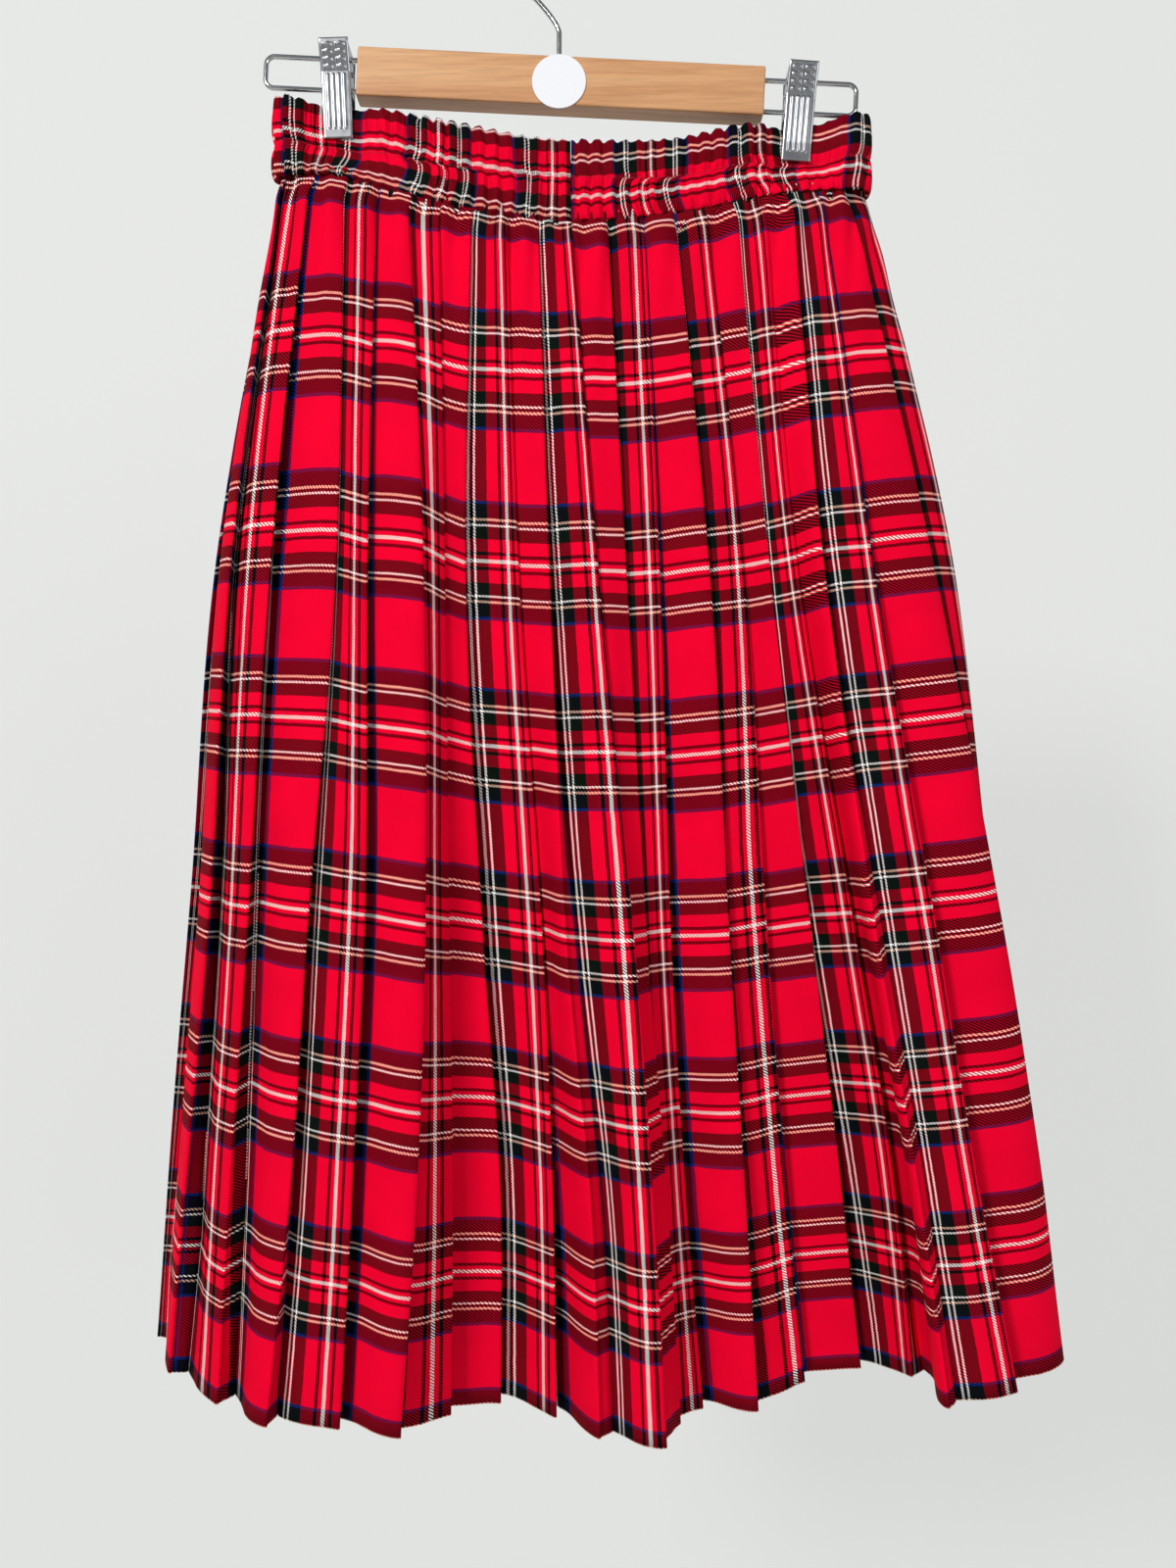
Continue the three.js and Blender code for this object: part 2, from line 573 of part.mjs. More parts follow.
// Hangs with its pin midway between the two wires
function clip({ side, x, tilt }) {
  const hung = new THREE.Group();
  hung.position.set(x, 0, BAR.z - (x - BAR.x) * Math.tan(BAR_TILT));
  hung.rotation.y = tilt;
  const group = new THREE.Group();
  group.position.z = PIN.down;
  hung.add(group);
  const slotTilt = BAR_TILT - tilt;
  group.add(mesh(`clip_${side}_front_jaw`, plate(true, slotTilt), materials.chrome));
  group.add(mesh(`clip_${side}_back_jaw`, plate(false, slotTilt), materials.chrome));
  const pin = crossPin(PIN.radius, PLATE.width / 2 + PIN.overhang, SIDES.pin).translate(0, 0, -PIN.down);
  group.add(mesh(`clip_${side}_pin`, pin, materials.chrome));
  const coil = solid(crossPin(SPRING.radius, SPRING.half, SIDES.spring))
    .subtract(solid(crossPin(PIN.radius + RUNNING, 2 * SPRING.half, SIDES.pin)));
  const spring = mesh(`clip_${side}_spring`, geometryOf(coil), materials.spring);
  spring.position.z = -PIN.down;
  group.add(spring);
  return hung;
}

const skirt = new THREE.Group();
skirt.add(skirtPanel('skirt_front', 0, FRONT.length));
skirt.add(skirtPanel('skirt_back', FRONT.length, BACK.length));
skirt.add(waistband());

const beam = new THREE.Group();
beam.position.set(BAR.x, 0, BAR.z);
beam.rotation.y = BAR_TILT;
beam.add(bar(), endLoop('wire_loop_left', -1), endLoop('wire_loop_right', 1));

const hanger = new THREE.Group();
hanger.add(beam, hook(), disc(), ...CLIPS.map(clip));

const part = new THREE.Group();
part.add(skirt, hanger);

export default part;
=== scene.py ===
"""Looks of a pleated midi skirt that hangs from a wooden clip hanger.

Sizes are in millimetres until a mesh is made. The front faces -Y, so "depth" is measured towards -Y.
"""
import math

import bmesh
import bpy
import numpy as np
from mathutils import Matrix, Vector


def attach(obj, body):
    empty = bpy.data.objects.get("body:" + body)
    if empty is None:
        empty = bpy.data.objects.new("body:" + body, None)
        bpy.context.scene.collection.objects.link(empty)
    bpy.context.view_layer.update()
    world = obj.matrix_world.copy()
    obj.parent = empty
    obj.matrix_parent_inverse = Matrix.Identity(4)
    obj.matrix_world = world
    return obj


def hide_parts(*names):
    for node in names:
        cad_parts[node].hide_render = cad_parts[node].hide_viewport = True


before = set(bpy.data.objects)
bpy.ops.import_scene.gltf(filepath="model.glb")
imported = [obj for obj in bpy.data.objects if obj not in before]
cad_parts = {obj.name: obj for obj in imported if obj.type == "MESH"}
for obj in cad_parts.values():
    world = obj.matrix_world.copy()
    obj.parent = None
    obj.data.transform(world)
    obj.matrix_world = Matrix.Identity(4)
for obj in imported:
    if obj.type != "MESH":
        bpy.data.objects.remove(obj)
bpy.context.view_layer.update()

MM = 0.001

# Camera, as the photograph was taken: level, from in front of the middle of the skirt
CAMERA = {"x": 16.9, "y": -700, "z": -500, "lens": 27.35, "sensor": 36}

# Skirt: the same sizes and tables as its solids
FOLD = 1.6
LENGTH = 704
SETT = 108.2
SKIRT_X = 8
PLEAT_WAIST = 6.5
PLEAT_HEM = 12
PLEAT_DEEPEST = 0.72
PLEAT_SLACK = 0.8
TUCK_REACH = 330
WAIST_HALF = 176
WAIST_DEPTH = 15
WAIST_SQUARENESS = 8
STATION = {"waist": 0, "hip": 215, "mid": 423, "low": 576, "hem": LENGTH}
FLARE = {"waist": 0, "hip": 0.48, "mid": 0.71, "low": 0.87, "hem": 1}

# Crease by crease: its place across at five heights, its depth at the hem, its place in the
# check and the share of its fold that is kept at the waist
FRONT_COLUMNS = ("name", "waist", "hip", "mid", "low", "hem", "depth", "sett", "tuck")
FRONT = [
    ("B0", -170, -200, -214, -227, -238, -2, 66, 1),
    ("A1", -152, -173, -185, -194, -200, 30, 13, 0.6),
    ("B1", -133, -134, -147, -156, -167, 52, 67, 1),
    ("A2", -114, -117, -117, -123, -129, 46, 10, 1),
    ("B2", -96, -85, -83, -87, -95, 45, 63, 1),
    ("A3", -78, -74, -72, -70, -71, 9, 12, 1),
    ("B3", -59, -63, -54, -44, -44, -12, 66, 1),
    ("A4", -39, -32, -19, -13, -11, -4, 9, 1),
    ("B4", -21, -14, -4, 10, 15, 17, 70, 1),
    ("A5", -2, 15, 35, 46, 53, 29, 10, 1),
    ("B5", 19, 31, 43, 55, 63, 3, 66, 1),
    ("A6", 40, 50, 57, 66, 77, -11, 8, 1),
    ("B6", 58, 79, 91, 101, 109, -4, 67, 1),
    ("A7", 76, 100, 115, 128, 141, -28, 6, 1),
    ("B7", 93, 115, 141, 161, 176, -34, 64, 1),
    ("A8", 109, 130, 164, 189, 203, -17, 9, 1),
    ("B8", 125, 143, 172, 196, 214, 22, 65, 1),
    ("A9", 142, 172, 208, 232, 256, 12, 7, 1),
    ("B9", 159, 209, 251, 277, 294, -14, 66, 1),
]
BACK_COLUMNS = ("name", "waist", "hem", "depth", "sett", "tuck")
BACK = [
    ("A10", 174, 286, -50, 8, 1),
    ("B10", 155, 263, -73, 66, 0.45),
    ("A11", 136, 232, -88, 10, 0.45),
    ("B11", 117, 199, -96, 64, 1),
    ("A12", 98, 167, -98, 8, 1),
    ("B12", 79, 138, -93, 67, 1),
    ("A13", 60, 110, -80, 9, 1),
    ("B13", 41, 81, -71, 65, 1),
    ("A14", 22, 50, -73, 10, 1),
    ("B14", 3, 21, -84, 66, 1),
    ("A15", -16, -7, -93, 7, 1),
    ("B15", -35, -37, -91, 68, 1),
    ("A16", -55, -66, -77, 9, 1),
    ("B16", -75, -97, -66, 64, 1),
    ("A17", -94, -128, -66, 8, 1),
    ("B17", -113, -157, -77, 66, 1),
    ("A18", -132, -188, -84, 9, 1),
    ("B18", -152, -227, -72, 65, 1),
    ("A19", -172, -259, -42, 9, 1),
]

# How the check lies on each front panel. The check's place is counted from the middle of its
# single white line: where the panel comes out from under the crease before it, at what share of
# its width a "mark" lies, and at its own crease. The mark is the white line on the panels named A
# and the blue line on those named B. Each is given high, halfway and low on the skirt.
MARK = {"A": 0.0, "B": 33.2}
PANEL_DOWN = [150, 370, 680]
NO_MARK = 0.01  # a share below this means that the mark doesn't show
PANELS = [
    ("B0", (52, 50, 47), (0, 0, 0), (73, 72, 72)),
    ("A1", (-8, -21, -24), (0.40, 0.54, 0.68), (12, 10, 9)),
    ("B1", (33, 30, 15), (0.09, 0.10, 0.28), (65, 67, 57)),
    ("A2", (-20, -25, -31), (0.53, 0.74, 0.78), (9, 8, 9)),
    ("B2", (32, 28, 27), (0.03, 0.12, 0.12), (63, 65, 63)),
    ("A3", (-6, -13, -20), (0.50, 0.45, 0.67), (8, 10, 9)),
    ("B3", (56, 52, 38), (0, 0, 0), (66, 64, 66)),
    ("A4", (-25, -28, -28), (0.85, 0.81, 0.78), (6, 7, 8)),
    ("B4", (52, 46, 27), (0, 0, 0.14), (66, 66, 62)),
    ("A5", (-25, -27, -33), (0.95, 0.86, 0.78), (4, 5, 7)),
    ("B5", (44, 56, 60), (0, 0, 0), (63, 66, 66)),
    ("A6", (-20, -21, -12), (0.74, 0.73, 0.72), (6, 8, 7)),
    ("B6", (32, 26, 25), (0.04, 0.13, 0.15), (60, 63, 61)),
    ("A7", (-21, -16, -23), (0.89, 0.70, 0.86), (4, 6, 4)),
    ("B7", (52, 32, 26), (0, 0.05, 0.15), (65, 62, 61)),
    ("A8", (-25, -21, -34), (0.75, 0.83, 0.86), (7, 5, 6)),
    ("B8", (60, 58, 56), (0, 0, 0), (66, 66, 66)),
    ("A9", (-31, -34, -34), (0.95, 0.86, 0.865), (3, 6, 6)),
    ("B9", (31, 32, 27), (0.08, 0.05, 0.15), (60, 62, 62)),
]
# The back's panels are alike, but the last one shows only the red field
BACK_PANEL = {
    "A19": ((-62, -62, -62), (0, 0, 0), (-36, -36, -36)),
    "A": ((-22, -25, -30), (0.76, 0.78, 0.80), (6, 7, 7)),
    "B": ((33, 28, 26), (0.04, 0.11, 0.14), (63, 64, 62)),
}

# How far each panel's check has slipped down against its neighbours', at six places down
SLIP_DOWN = [0, 85, 215, 423, 576, LENGTH]
SLIP = {
    "B0": (1, 2, 8, 13, 9, -4), "A1": (1, 3, 10, 15, 11, -4), "B1": (2, 6, 13, 13, 8, -4),
    "A2": (2, 6, 14, 11, 6, -4), "B2": (1, 2, 10, 12, 8, -4), "A3": (4, 8, 12, 6, 1, -4),
    "B3": (2, 4, 9, 5, 2, -4), "A4": (1, 2, 6, 8, 6, -4), "B4": (0, 1, 7, 5, 3, -4),
    "A5": (0, 0, 6, 7, 5, -4), "B5": (2, 4, 9, 5, 3, -4), "A6": (3, 7, 10, 5, 2, -4),
    "B6": (3, 6, 11, 10, 8, -4), "A7": (5, 10, 12, 9, 5, -4), "B7": (4, 8, 12, 14, 11, -4),
    "A8": (5, 11, 13, 10, 6, -4), "B8": (5, 11, 12, 13, 13, -4), "A9": (4, 9, 13, 10, 6, -4),
    "B9": (3, 7, 9, 8, 4, -4),
}
BACK_SLIP = (2, 5, 10, 9, 5, -4)
BACK_SLIP_UNEVEN = 2.5
BACK_SLIP_TURN = 1.9  # radians from one panel to the next

# Heights of the waistband's sewing lines below the hook, across its width
BAND_X = [-176, -137, -98, -61, -24, 10, 58, 97, 127, 176]
BAND_LINES = {
    "top": [-100, -104, -112, -119, -126, -128, -127, -119, -116, -110],
    "stitch": [-126, -128, -138, -144, -147, -149, -149, -142, -138, -135],
    "seam": [-146, -147, -157, -166, -172, -173, -169, -162, -157, -154],
}

# Fineness and softness that only the looks need
CLOTH = 0.7  # thickness of the shown cloth
CARRIER_STEPS = 10
CARRIER_SMOOTH = 7
HIDDEN_AT = [0.0, 0.6]  # places on the part of a panel that lies under the crease before it
SHOWN_AT = [0.0, 0.06, 0.13, 0.22, 0.36, 0.52, 0.66, 0.76, 0.85, 0.93, 1.0]  # and on the rest
PANEL_BULGE = 1.7
BULGE_RISES = (0.2, 0.6)  # shares of the panel's width between which it rises
ROUND_AT = [45, 90, 135]  # degrees round a pressed crease
RETURN_AT = [0.33, 0.67]
NECK = 16  # below the waist seam the pleats open over this distance
NECK_DEPTH = 0.74  # share of the skirt's depth at the seam, where it is caught by the band
NECK_PLEAT = 0.25  # share of the pleats' depth there
NECK_WIDTH = 0.985  # share of the skirt's width there
TOP_ROWS = [-4, -1.5, 0, 1.5, 3.5, 6, 9, 12.5, 16.5, 21]
EVEN_ROWS_FROM = 27  # further down the rows are evenly spaced
FRONT_ROWS = 104
BACK_ROWS = 84

# Unevenness of the hanging cloth: heights of its waves, and in "parts" how far across and down
# they go for one radian, with a shift
LOOSE_BETWEEN = (20, 300)  # distances down over which the cloth comes to hang freely
LONG_WAVE = {"height": 2.1, "parts": [(29, 190, 0.7), (140, 83, 0)]}
SHORT_WAVE = {"height": 0.55, "parts": [(11.5, -95, 2.1), (-60, 41, 0.4)]}
GATHERS = {"height": 0.9, "fade": 15, "every": 1.45, "uneven": 2.2, "uneven_every": 19}
FOLDS = {
    "height": 2.3, "every": 2.7, "lean": 70, "uneven": 2.4, "uneven_every": 27, "uneven_shift": 0.6,
    "lip": 0.4, "lip_at": 10, "rise": 8, "fade": 60,
}

# Weave: half a repeat of the check, counted in threads from the middle of its single white line
HALF_THREADS = 114
THREAD = SETT / 2 / HALF_THREADS  # spacing of the yarns
WARP_LINES = [
    (0, "white"), (2, "red"), (7, "black"), (11, "red"), (26, "green"), (41, "white"),
    (44, "black"), (48, "white"), (51, "navy"), (68, "blue"), (72, "red"),
]
CREAM_LINE = 48  # this line is cream in the weft
WEFT_LINES = [(start, "cream" if start == CREAM_LINE else yarn) for start, yarn in WARP_LINES]
TWILL_REPEAT = 4
TWILL_OVER = 2
YARN = {
    "red": (238, 0, 46),
    "black": (9, 5, 9),
    "green": (8, 18, 13),
    "navy": (8, 8, 20),
    "blue": (14, 40, 124),
    "white": (252, 250, 246),
    "cream": (252, 208, 184),
}
YARN_WOBBLE = 0.0006  # how far the stripes stray from straight lines, in metres
WEFT_START = 17.8
WEFT_RATE = 1.0113  # the check's repeats down the skirt, against its length
TONE_LEAST = 0.86  # the dye is a little uneven: darkest tone, and range above it
TONE_RANGE = 0.24


def srgb(r, g, b):
    """Linear colour from screen values of 0 to 255."""
    def one(value):
        c = value / 255
        return c / 12.92 if c <= 0.04045 else ((c + 0.055) / 1.055) ** 2.4
    return (one(r), one(g), one(b), 1.0)


def through(places, values, at):
    """Smooth curve through the values of a short table."""
    places = np.asarray(places, float)
    values = np.asarray(values, float)
    at = np.asarray(at, float)
    last = len(places) - 1
    before = np.maximum(np.arange(last + 1) - 1, 0)
    after = np.minimum(np.arange(last + 1) + 1, last)
    slope = (values[after] - values[before]) / (places[after] - places[before])
    i = np.clip(np.searchsorted(places, at, side="left") - 1, 0, last - 1)
    span = places[i + 1] - places[i]
    t = np.clip((at - places[i]) / span, 0, 1)
    t2, t3 = t * t, t * t * t
    ends = (2 * t3 - 3 * t2 + 1) * values[i] + (3 * t2 - 2 * t3) * values[i + 1]
    return ends + (t3 - 2 * t2 + t) * span * slope[i] + (t3 - t2) * span * slope[i + 1]


def smooth_step(low, high, value):
    t = np.clip((value - low) / (high - low), 0, 1)
    return t * t * (3 - 2 * t)


def band_height(x, line):
    return through(BAND_X, BAND_LINES[line], x)


# Pleated skirt

def pleat_table():
    """Columns of both tables as arrays: waist x, the five sections, hem depth, side, sett, tuck."""
    rows = []
    for table, columns, side in ((FRONT, FRONT_COLUMNS, 1), (BACK, BACK_COLUMNS, -1)):
        for values in table:
            row = dict(zip(columns, values))
            waist, flare = row["waist"], row["hem"] - row["waist"]
            sections = [row.get(name, waist + flare * FLARE[name]) for name in STATION]
            rows.append((waist, sections, row["depth"], side, row["sett"], row["tuck"]))
    return [np.array(column, float) for column in zip(*rows)]


WAIST, SECTIONS, HEM_DEPTH, SIDE, PLACE, TUCK = pleat_table()
COUNT = len(WAIST)
CLOTH_BEFORE = (PLACE - np.roll(PLACE, 1)) % SETT
CREASE_TURN = SETT * COUNT / 2


def panel_tables():
    """The check's tables for all panels, counted on from one repeat to the next."""
    shown = {name: values for name, *values in PANELS}
    rows = []
    for i, name in enumerate(row[0] for row in FRONT + BACK):
        kind = name[0]
        repeat = SETT * ((i + 1) // 2)
        starts, mark_at, ends = shown.get(name, BACK_PANEL.get(name, BACK_PANEL[kind]))
        uneven = BACK_SLIP_UNEVEN * math.sin(BACK_SLIP_TURN * i)
        slip = SLIP.get(name, [value + uneven * (value > 0) for value in BACK_SLIP])
        starts, ends = ([value + repeat for value in values] for values in (starts, ends))
        rows.append((starts, mark_at, ends, MARK[kind] + repeat, slip))
    return [np.array(column, float) for column in zip(*rows)]


STARTS, MARK_AT, ENDS, MARK_U, SLIPS = panel_tables()


def panel_check(down):
    """Start, mark's share, end and slip of every panel at one distance down."""
    def at(table, places):
        return np.array([np.interp(down, places, row) for row in table])
    starts, mark_at, ends = (at(table, PANEL_DOWN) for table in (STARTS, MARK_AT, ENDS))
    return starts, mark_at, ends, at(SLIPS, SLIP_DOWN)


def creases(down):
    stations = list(STATION.values())
    x = np.array([through(stations, row, down) for row in SECTIONS])
    oval = np.sqrt(1 - np.abs(WAIST / WAIST_HALF) ** WAIST_SQUARENESS)
    top = SIDE * WAIST_DEPTH * oval
    depth = top + (HEM_DEPTH - top) * (down / LENGTH)
    sideways = np.hypot(x - WAIST, depth - top)
    z = band_height(WAIST, "seam") - np.sqrt(np.maximum(down * down - sideways * sideways, 0))
    return x, depth, z


class Carrier:
    """Closed smooth line through the creases at one distance down the cloth."""

    def __init__(self, down):
        x, depth, z = creases(down)
        points = np.stack([x, depth], axis=1)
        p0, p1, p2, p3 = (np.roll(points, shift, axis=0) for shift in (1, 0, -1, -2))
        gap = np.sqrt(np.linalg.norm(p2 - p1, axis=1))[:, None]
        gap0, gap2 = np.roll(gap, 1, axis=0), np.roll(gap, -1, axis=0)
        m1 = gap * ((p1 - p0) / gap0 - (p2 - p0) / (gap0 + gap) + (p2 - p1) / gap)
        m2 = gap * ((p2 - p1) / gap - (p3 - p1) / (gap + gap2) + (p3 - p2) / gap2)
        t = (np.arange(CARRIER_STEPS) / CARRIER_STEPS)[None, :, None]
        a, b, m1, m2 = p1[:, None], p2[:, None], m1[:, None], m2[:, None]
        line = (
            a + m1 * t
            + (-3 * a + 3 * b - 2 * m1 - m2) * t ** 2
            + (2 * a - 2 * b + m1 + m2) * t ** 3
        )
        line = line.reshape(-1, 2)
        line = np.vstack([line, line[:1]])
        share = np.tile(np.arange(CARRIER_STEPS) / CARRIER_STEPS, COUNT)
        here, after = np.repeat(z, CARRIER_STEPS), np.repeat(np.roll(z, -1), CARRIER_STEPS)
        height = here * (1 - share) + after * share
        self.z = np.append(height, height[0])
        self.x, self.depth = line[:, 0], line[:, 1]
        self.run = np.concatenate([[0], np.cumsum(np.hypot(np.diff(self.x), np.diff(self.depth)))])
        self.total = self.run[-1]
        self.crease = self.run[:-1:CARRIER_STEPS]

    def read(self, s):
        at = np.mod(s, self.total)
        return [np.interp(at, self.run, values) for values in (self.x, self.depth, self.z)]

    def inside(self, s, deep):
        x, depth, z = self.read(s)
        ax, ad, _ = self.read(s - CARRIER_SMOOTH)
        bx, bd, _ = self.read(s + CARRIER_SMOOTH)
        size = np.hypot(bx - ax, bd - ad)
        return x + deep * (bd - ad) / size, depth - deep * (bx - ax) / size, z


def cloth_wave(x, z, down):
    """Soft unevenness of the hanging cloth, the same for all layers at one place."""
    def wave(kind):
        height = kind["height"]
        for across, along, shift in kind["parts"]:
            height = height * np.sin(x / across + z / along + shift)
        return height

    below = np.maximum(down, 0)
    g, f = GATHERS, FOLDS
    gathered = x / g["every"] + g["uneven"] * np.sin(x / g["uneven_every"])
    gathers = g["height"] * np.exp(-below / g["fade"]) * np.sin(gathered)
    lip = f["lip"] * below / f["lip_at"] * np.exp(1 - below / f["lip_at"])
    fall = lip + np.exp(-below / f["fade"]) * (1 - np.exp(-below / f["rise"]))
    folded = x / f["every"] + f["uneven"] * np.sin(x / f["uneven_every"] + f["uneven_shift"])
    folds = f["height"] * fall * np.sin(folded + below / f["lean"])
    return smooth_step(*LOOSE_BETWEEN, down) * (wave(LONG_WAVE) + wave(SHORT_WAVE)) + gathers + folds


def skirt_row(down):
    """Every pleat's points at one distance down: arrays of COUNT by points."""
    level = max(down, 0)
    line = Carrier(level)
    neck = smooth_step(0, NECK, level)
    wanted = PLEAT_WAIST + (PLEAT_HEM - PLEAT_WAIST) * (level / LENGTH)
    before = np.roll(line.crease, 1)
    before[0] -= line.total
    pitch = line.crease - before
    half = np.maximum(CLOTH_BEFORE / 2, pitch / 2 + PLEAT_SLACK)
    most = np.sqrt(half ** 2 - pitch ** 2 / 4)
    deep = np.minimum(wanted, PLEAT_DEEPEST * most)
    under = half * np.sqrt(1 - (deep / most) ** 2) - pitch / 2
    share = TUCK + (1 - TUCK) * min(level / TUCK_REACH, 1)
    start_s, start_deep = before - under * share, deep
    end_s = np.roll(start_s, -1)
    end_s[-1] += line.total
    end_deep = np.roll(deep, -1)
    crease = line.crease

    shown_from = before + FOLD / 2
    stops = [start_s + (shown_from - start_s) * at for at in HIDDEN_AT]
    stops += [shown_from + (crease - shown_from) * at for at in SHOWN_AT]
    s, inward = [], []
    for stop in stops:
        t = (stop - start_s) / (crease - start_s)
        bulge = PANEL_BULGE * np.sin(math.pi * t) * smooth_step(*BULGE_RISES, t)
        s.append(stop)
        inward.append((start_deep + FOLD) * (1 - t) - bulge)
    radius = FOLD / 2
    for turn in ROUND_AT:
        angle = math.radians(turn)
        s.append(crease + radius * math.sin(angle))
        inward.append(np.full(COUNT, radius - radius * math.cos(angle)))
    for t in (0.0, *RETURN_AT, 1.0):
        s.append(crease + (end_s - crease) * t)
        inward.append(FOLD + (end_deep - FOLD) * t)
    s.append(end_s - radius)
    inward.append(end_deep + radius)
    s, inward = np.stack(s, axis=1), np.stack(inward, axis=1)

    x, depth, z = line.inside(s, inward * (NECK_PLEAT + (1 - NECK_PLEAT) * neck))
    x = x * (NECK_WIDTH + (1 - NECK_WIDTH) * neck)
    depth = depth * (NECK_DEPTH + (1 - NECK_DEPTH) * neck)
    depth = depth + cloth_wave(x, z, down)
    z = z + (level - down)

    # the check's place: read from the tables where the cloth shows, shared out evenly where it hides
    starts, mark_at, ends, slip = panel_check(level)
    next_start = np.append(starts[1:], starts[0] + CREASE_TURN)
    step = np.hypot(np.diff(s, axis=1), np.diff(inward, axis=1))
    arc = np.concatenate([np.zeros((COUNT, 1)), np.cumsum(step, axis=1)], axis=1)
    first, top = len(HIDDEN_AT), len(stops) - 1
    back = arc[:, -1] - arc[:, top]
    under = arc[:, first]
    next_under = np.roll(under, -1)
    valley_after = ends + (next_start - ends) * back / (back + next_under)
    valley = np.roll(valley_after, 1)
    valley[0] -= CREASE_TURN
    u = np.empty_like(arc)
    for c in range(first):
        u[:, c] = valley + (starts - valley) * arc[:, c] / under
    for c, at in enumerate(SHOWN_AT):
        early = starts + (MARK_U - starts) * at / np.maximum(mark_at, NO_MARK)
        late = MARK_U + (ends - MARK_U) * (at - mark_at) / (1 - mark_at)
        plain = starts + (ends - starts) * at
        u[:, first + c] = np.where(mark_at < NO_MARK, plain, np.where(at < mark_at, early, late))
    share = (arc[:, top:] - arc[:, top:top + 1]) / back[:, None]
    u[:, top:] = ends[:, None] + (valley_after - ends)[:, None] * share
    slipped = slip[:, None] + np.zeros_like(u)
    slipped[:, top + 1:] += (np.roll(slip, -1) - slip)[:, None] * share[:, 1:]
    return x, depth, z, u, slipped


def grid_faces(rows, columns):
    """Quads of a grid whose rows run down and whose columns run left to right, facing the viewer."""
    r, c = np.meshgrid(np.arange(rows - 1), np.arange(columns - 1), indexing="ij")
    a = r * columns + c
    return np.stack([a, a + columns, a + columns + 1, a + 1], axis=-1).reshape(-1, 4).tolist()


def add_object(name, data):
    made = bpy.data.objects.new(name, data)
    bpy.context.scene.collection.objects.link(made)
    return made


def make_mesh(name, points, faces, cloth=None):
    """Mesh object from points in millimetres, smooth, with the cloth's own coordinates if given."""
    data = bpy.data.meshes.new(name)
    data.from_pydata((np.asarray(points) * MM).tolist(), [], faces)
    data.shade_smooth()
    if cloth is not None:
        attribute = data.attributes.new("cloth", "FLOAT_VECTOR", "POINT")
        flat = np.column_stack([np.asarray(cloth) * MM, np.zeros(len(cloth))])
        attribute.data.foreach_set("vector", flat.astype(np.float32).ravel())
    return add_object(name, data)


def thicken(made, thickness, offset):
    """Gives a sheet its thickness: to both sides where offset is 0, inward where it is -1."""
    thick = made.modifiers.new("thickness", "SOLIDIFY")
    thick.thickness = thickness * MM
    thick.offset = offset
    return made


def skirt_panel(name, first, count, steps):
    """Cloth of the pleats from number "first", in rows from the waist seam to the hem."""
    downs = TOP_ROWS + list(np.linspace(EVEN_ROWS_FROM, LENGTH, steps))
    points, cloth = [], []
    for down in downs:
        x, depth, z, u, slip = (values[first:first + count].ravel() for values in skirt_row(down))
        points.append(np.column_stack([x + SKIRT_X, -depth, z]))
        cloth.append(np.column_stack([u, WEFT_START + WEFT_RATE * down - slip]))
    columns = len(points[0])
    made = make_mesh(name, np.vstack(points), grid_faces(len(downs), columns), np.vstack(cloth))
    return thicken(made, CLOTH, 0)


# Waistband

BAND_HALF = 173
BAND_DEPTH = 11
BAND_STRAIGHT = BAND_HALF - BAND_DEPTH
BAND_BEND = math.pi * BAND_DEPTH
BAND_ROUND = 4 * BAND_STRAIGHT + 2 * BAND_BEND
BAND_WALL = 2.4
JOIN = {"x": -1, "gap": 0.15, "gap_reach": 1.5, "reach": 2.5, "out": 0.45}
RUFFLES = 92
RUFFLE_HEIGHT = 1.55
COLUMNS_A_RUFFLE = 10
PINCHED_DEPTH = 1.95
PINCHED_WALL = 1.4
PINCHED_RUFFLE = 0.1  # share of the ruffles' height left under a clip
PINCH_PAST = 1
PINCH_REACH = 12
TOP_LIFT = 0.5  # how far the ruffles lift the top edge, which starts at TOP_EDGE
TOP_EDGE = 0.9

# How uneven the ruffles are. Each "every" is the length of strip for one radian.
UNEVEN = {
    "lean": 0.9, "lean_every": 23, "drift": 1.5, "drift_every": 41, "drift_shift": 0.4,
    "stray": 0.8, "stray_every": 13.3, "stray_shift": 2.0, "rise": 0.28, "rise_every": 17.3,
    "fine": 0.28, "fine_rate": 2.1, "fine_stray": 0.9, "fine_every": 29,
}
CHANNEL = {
    "stitch": {"lean": 1.3, "shift": 0.8, "rise": 2.0},
    "seam": {"lean": 0.2, "shift": 0.0, "rise": 0.5},
}

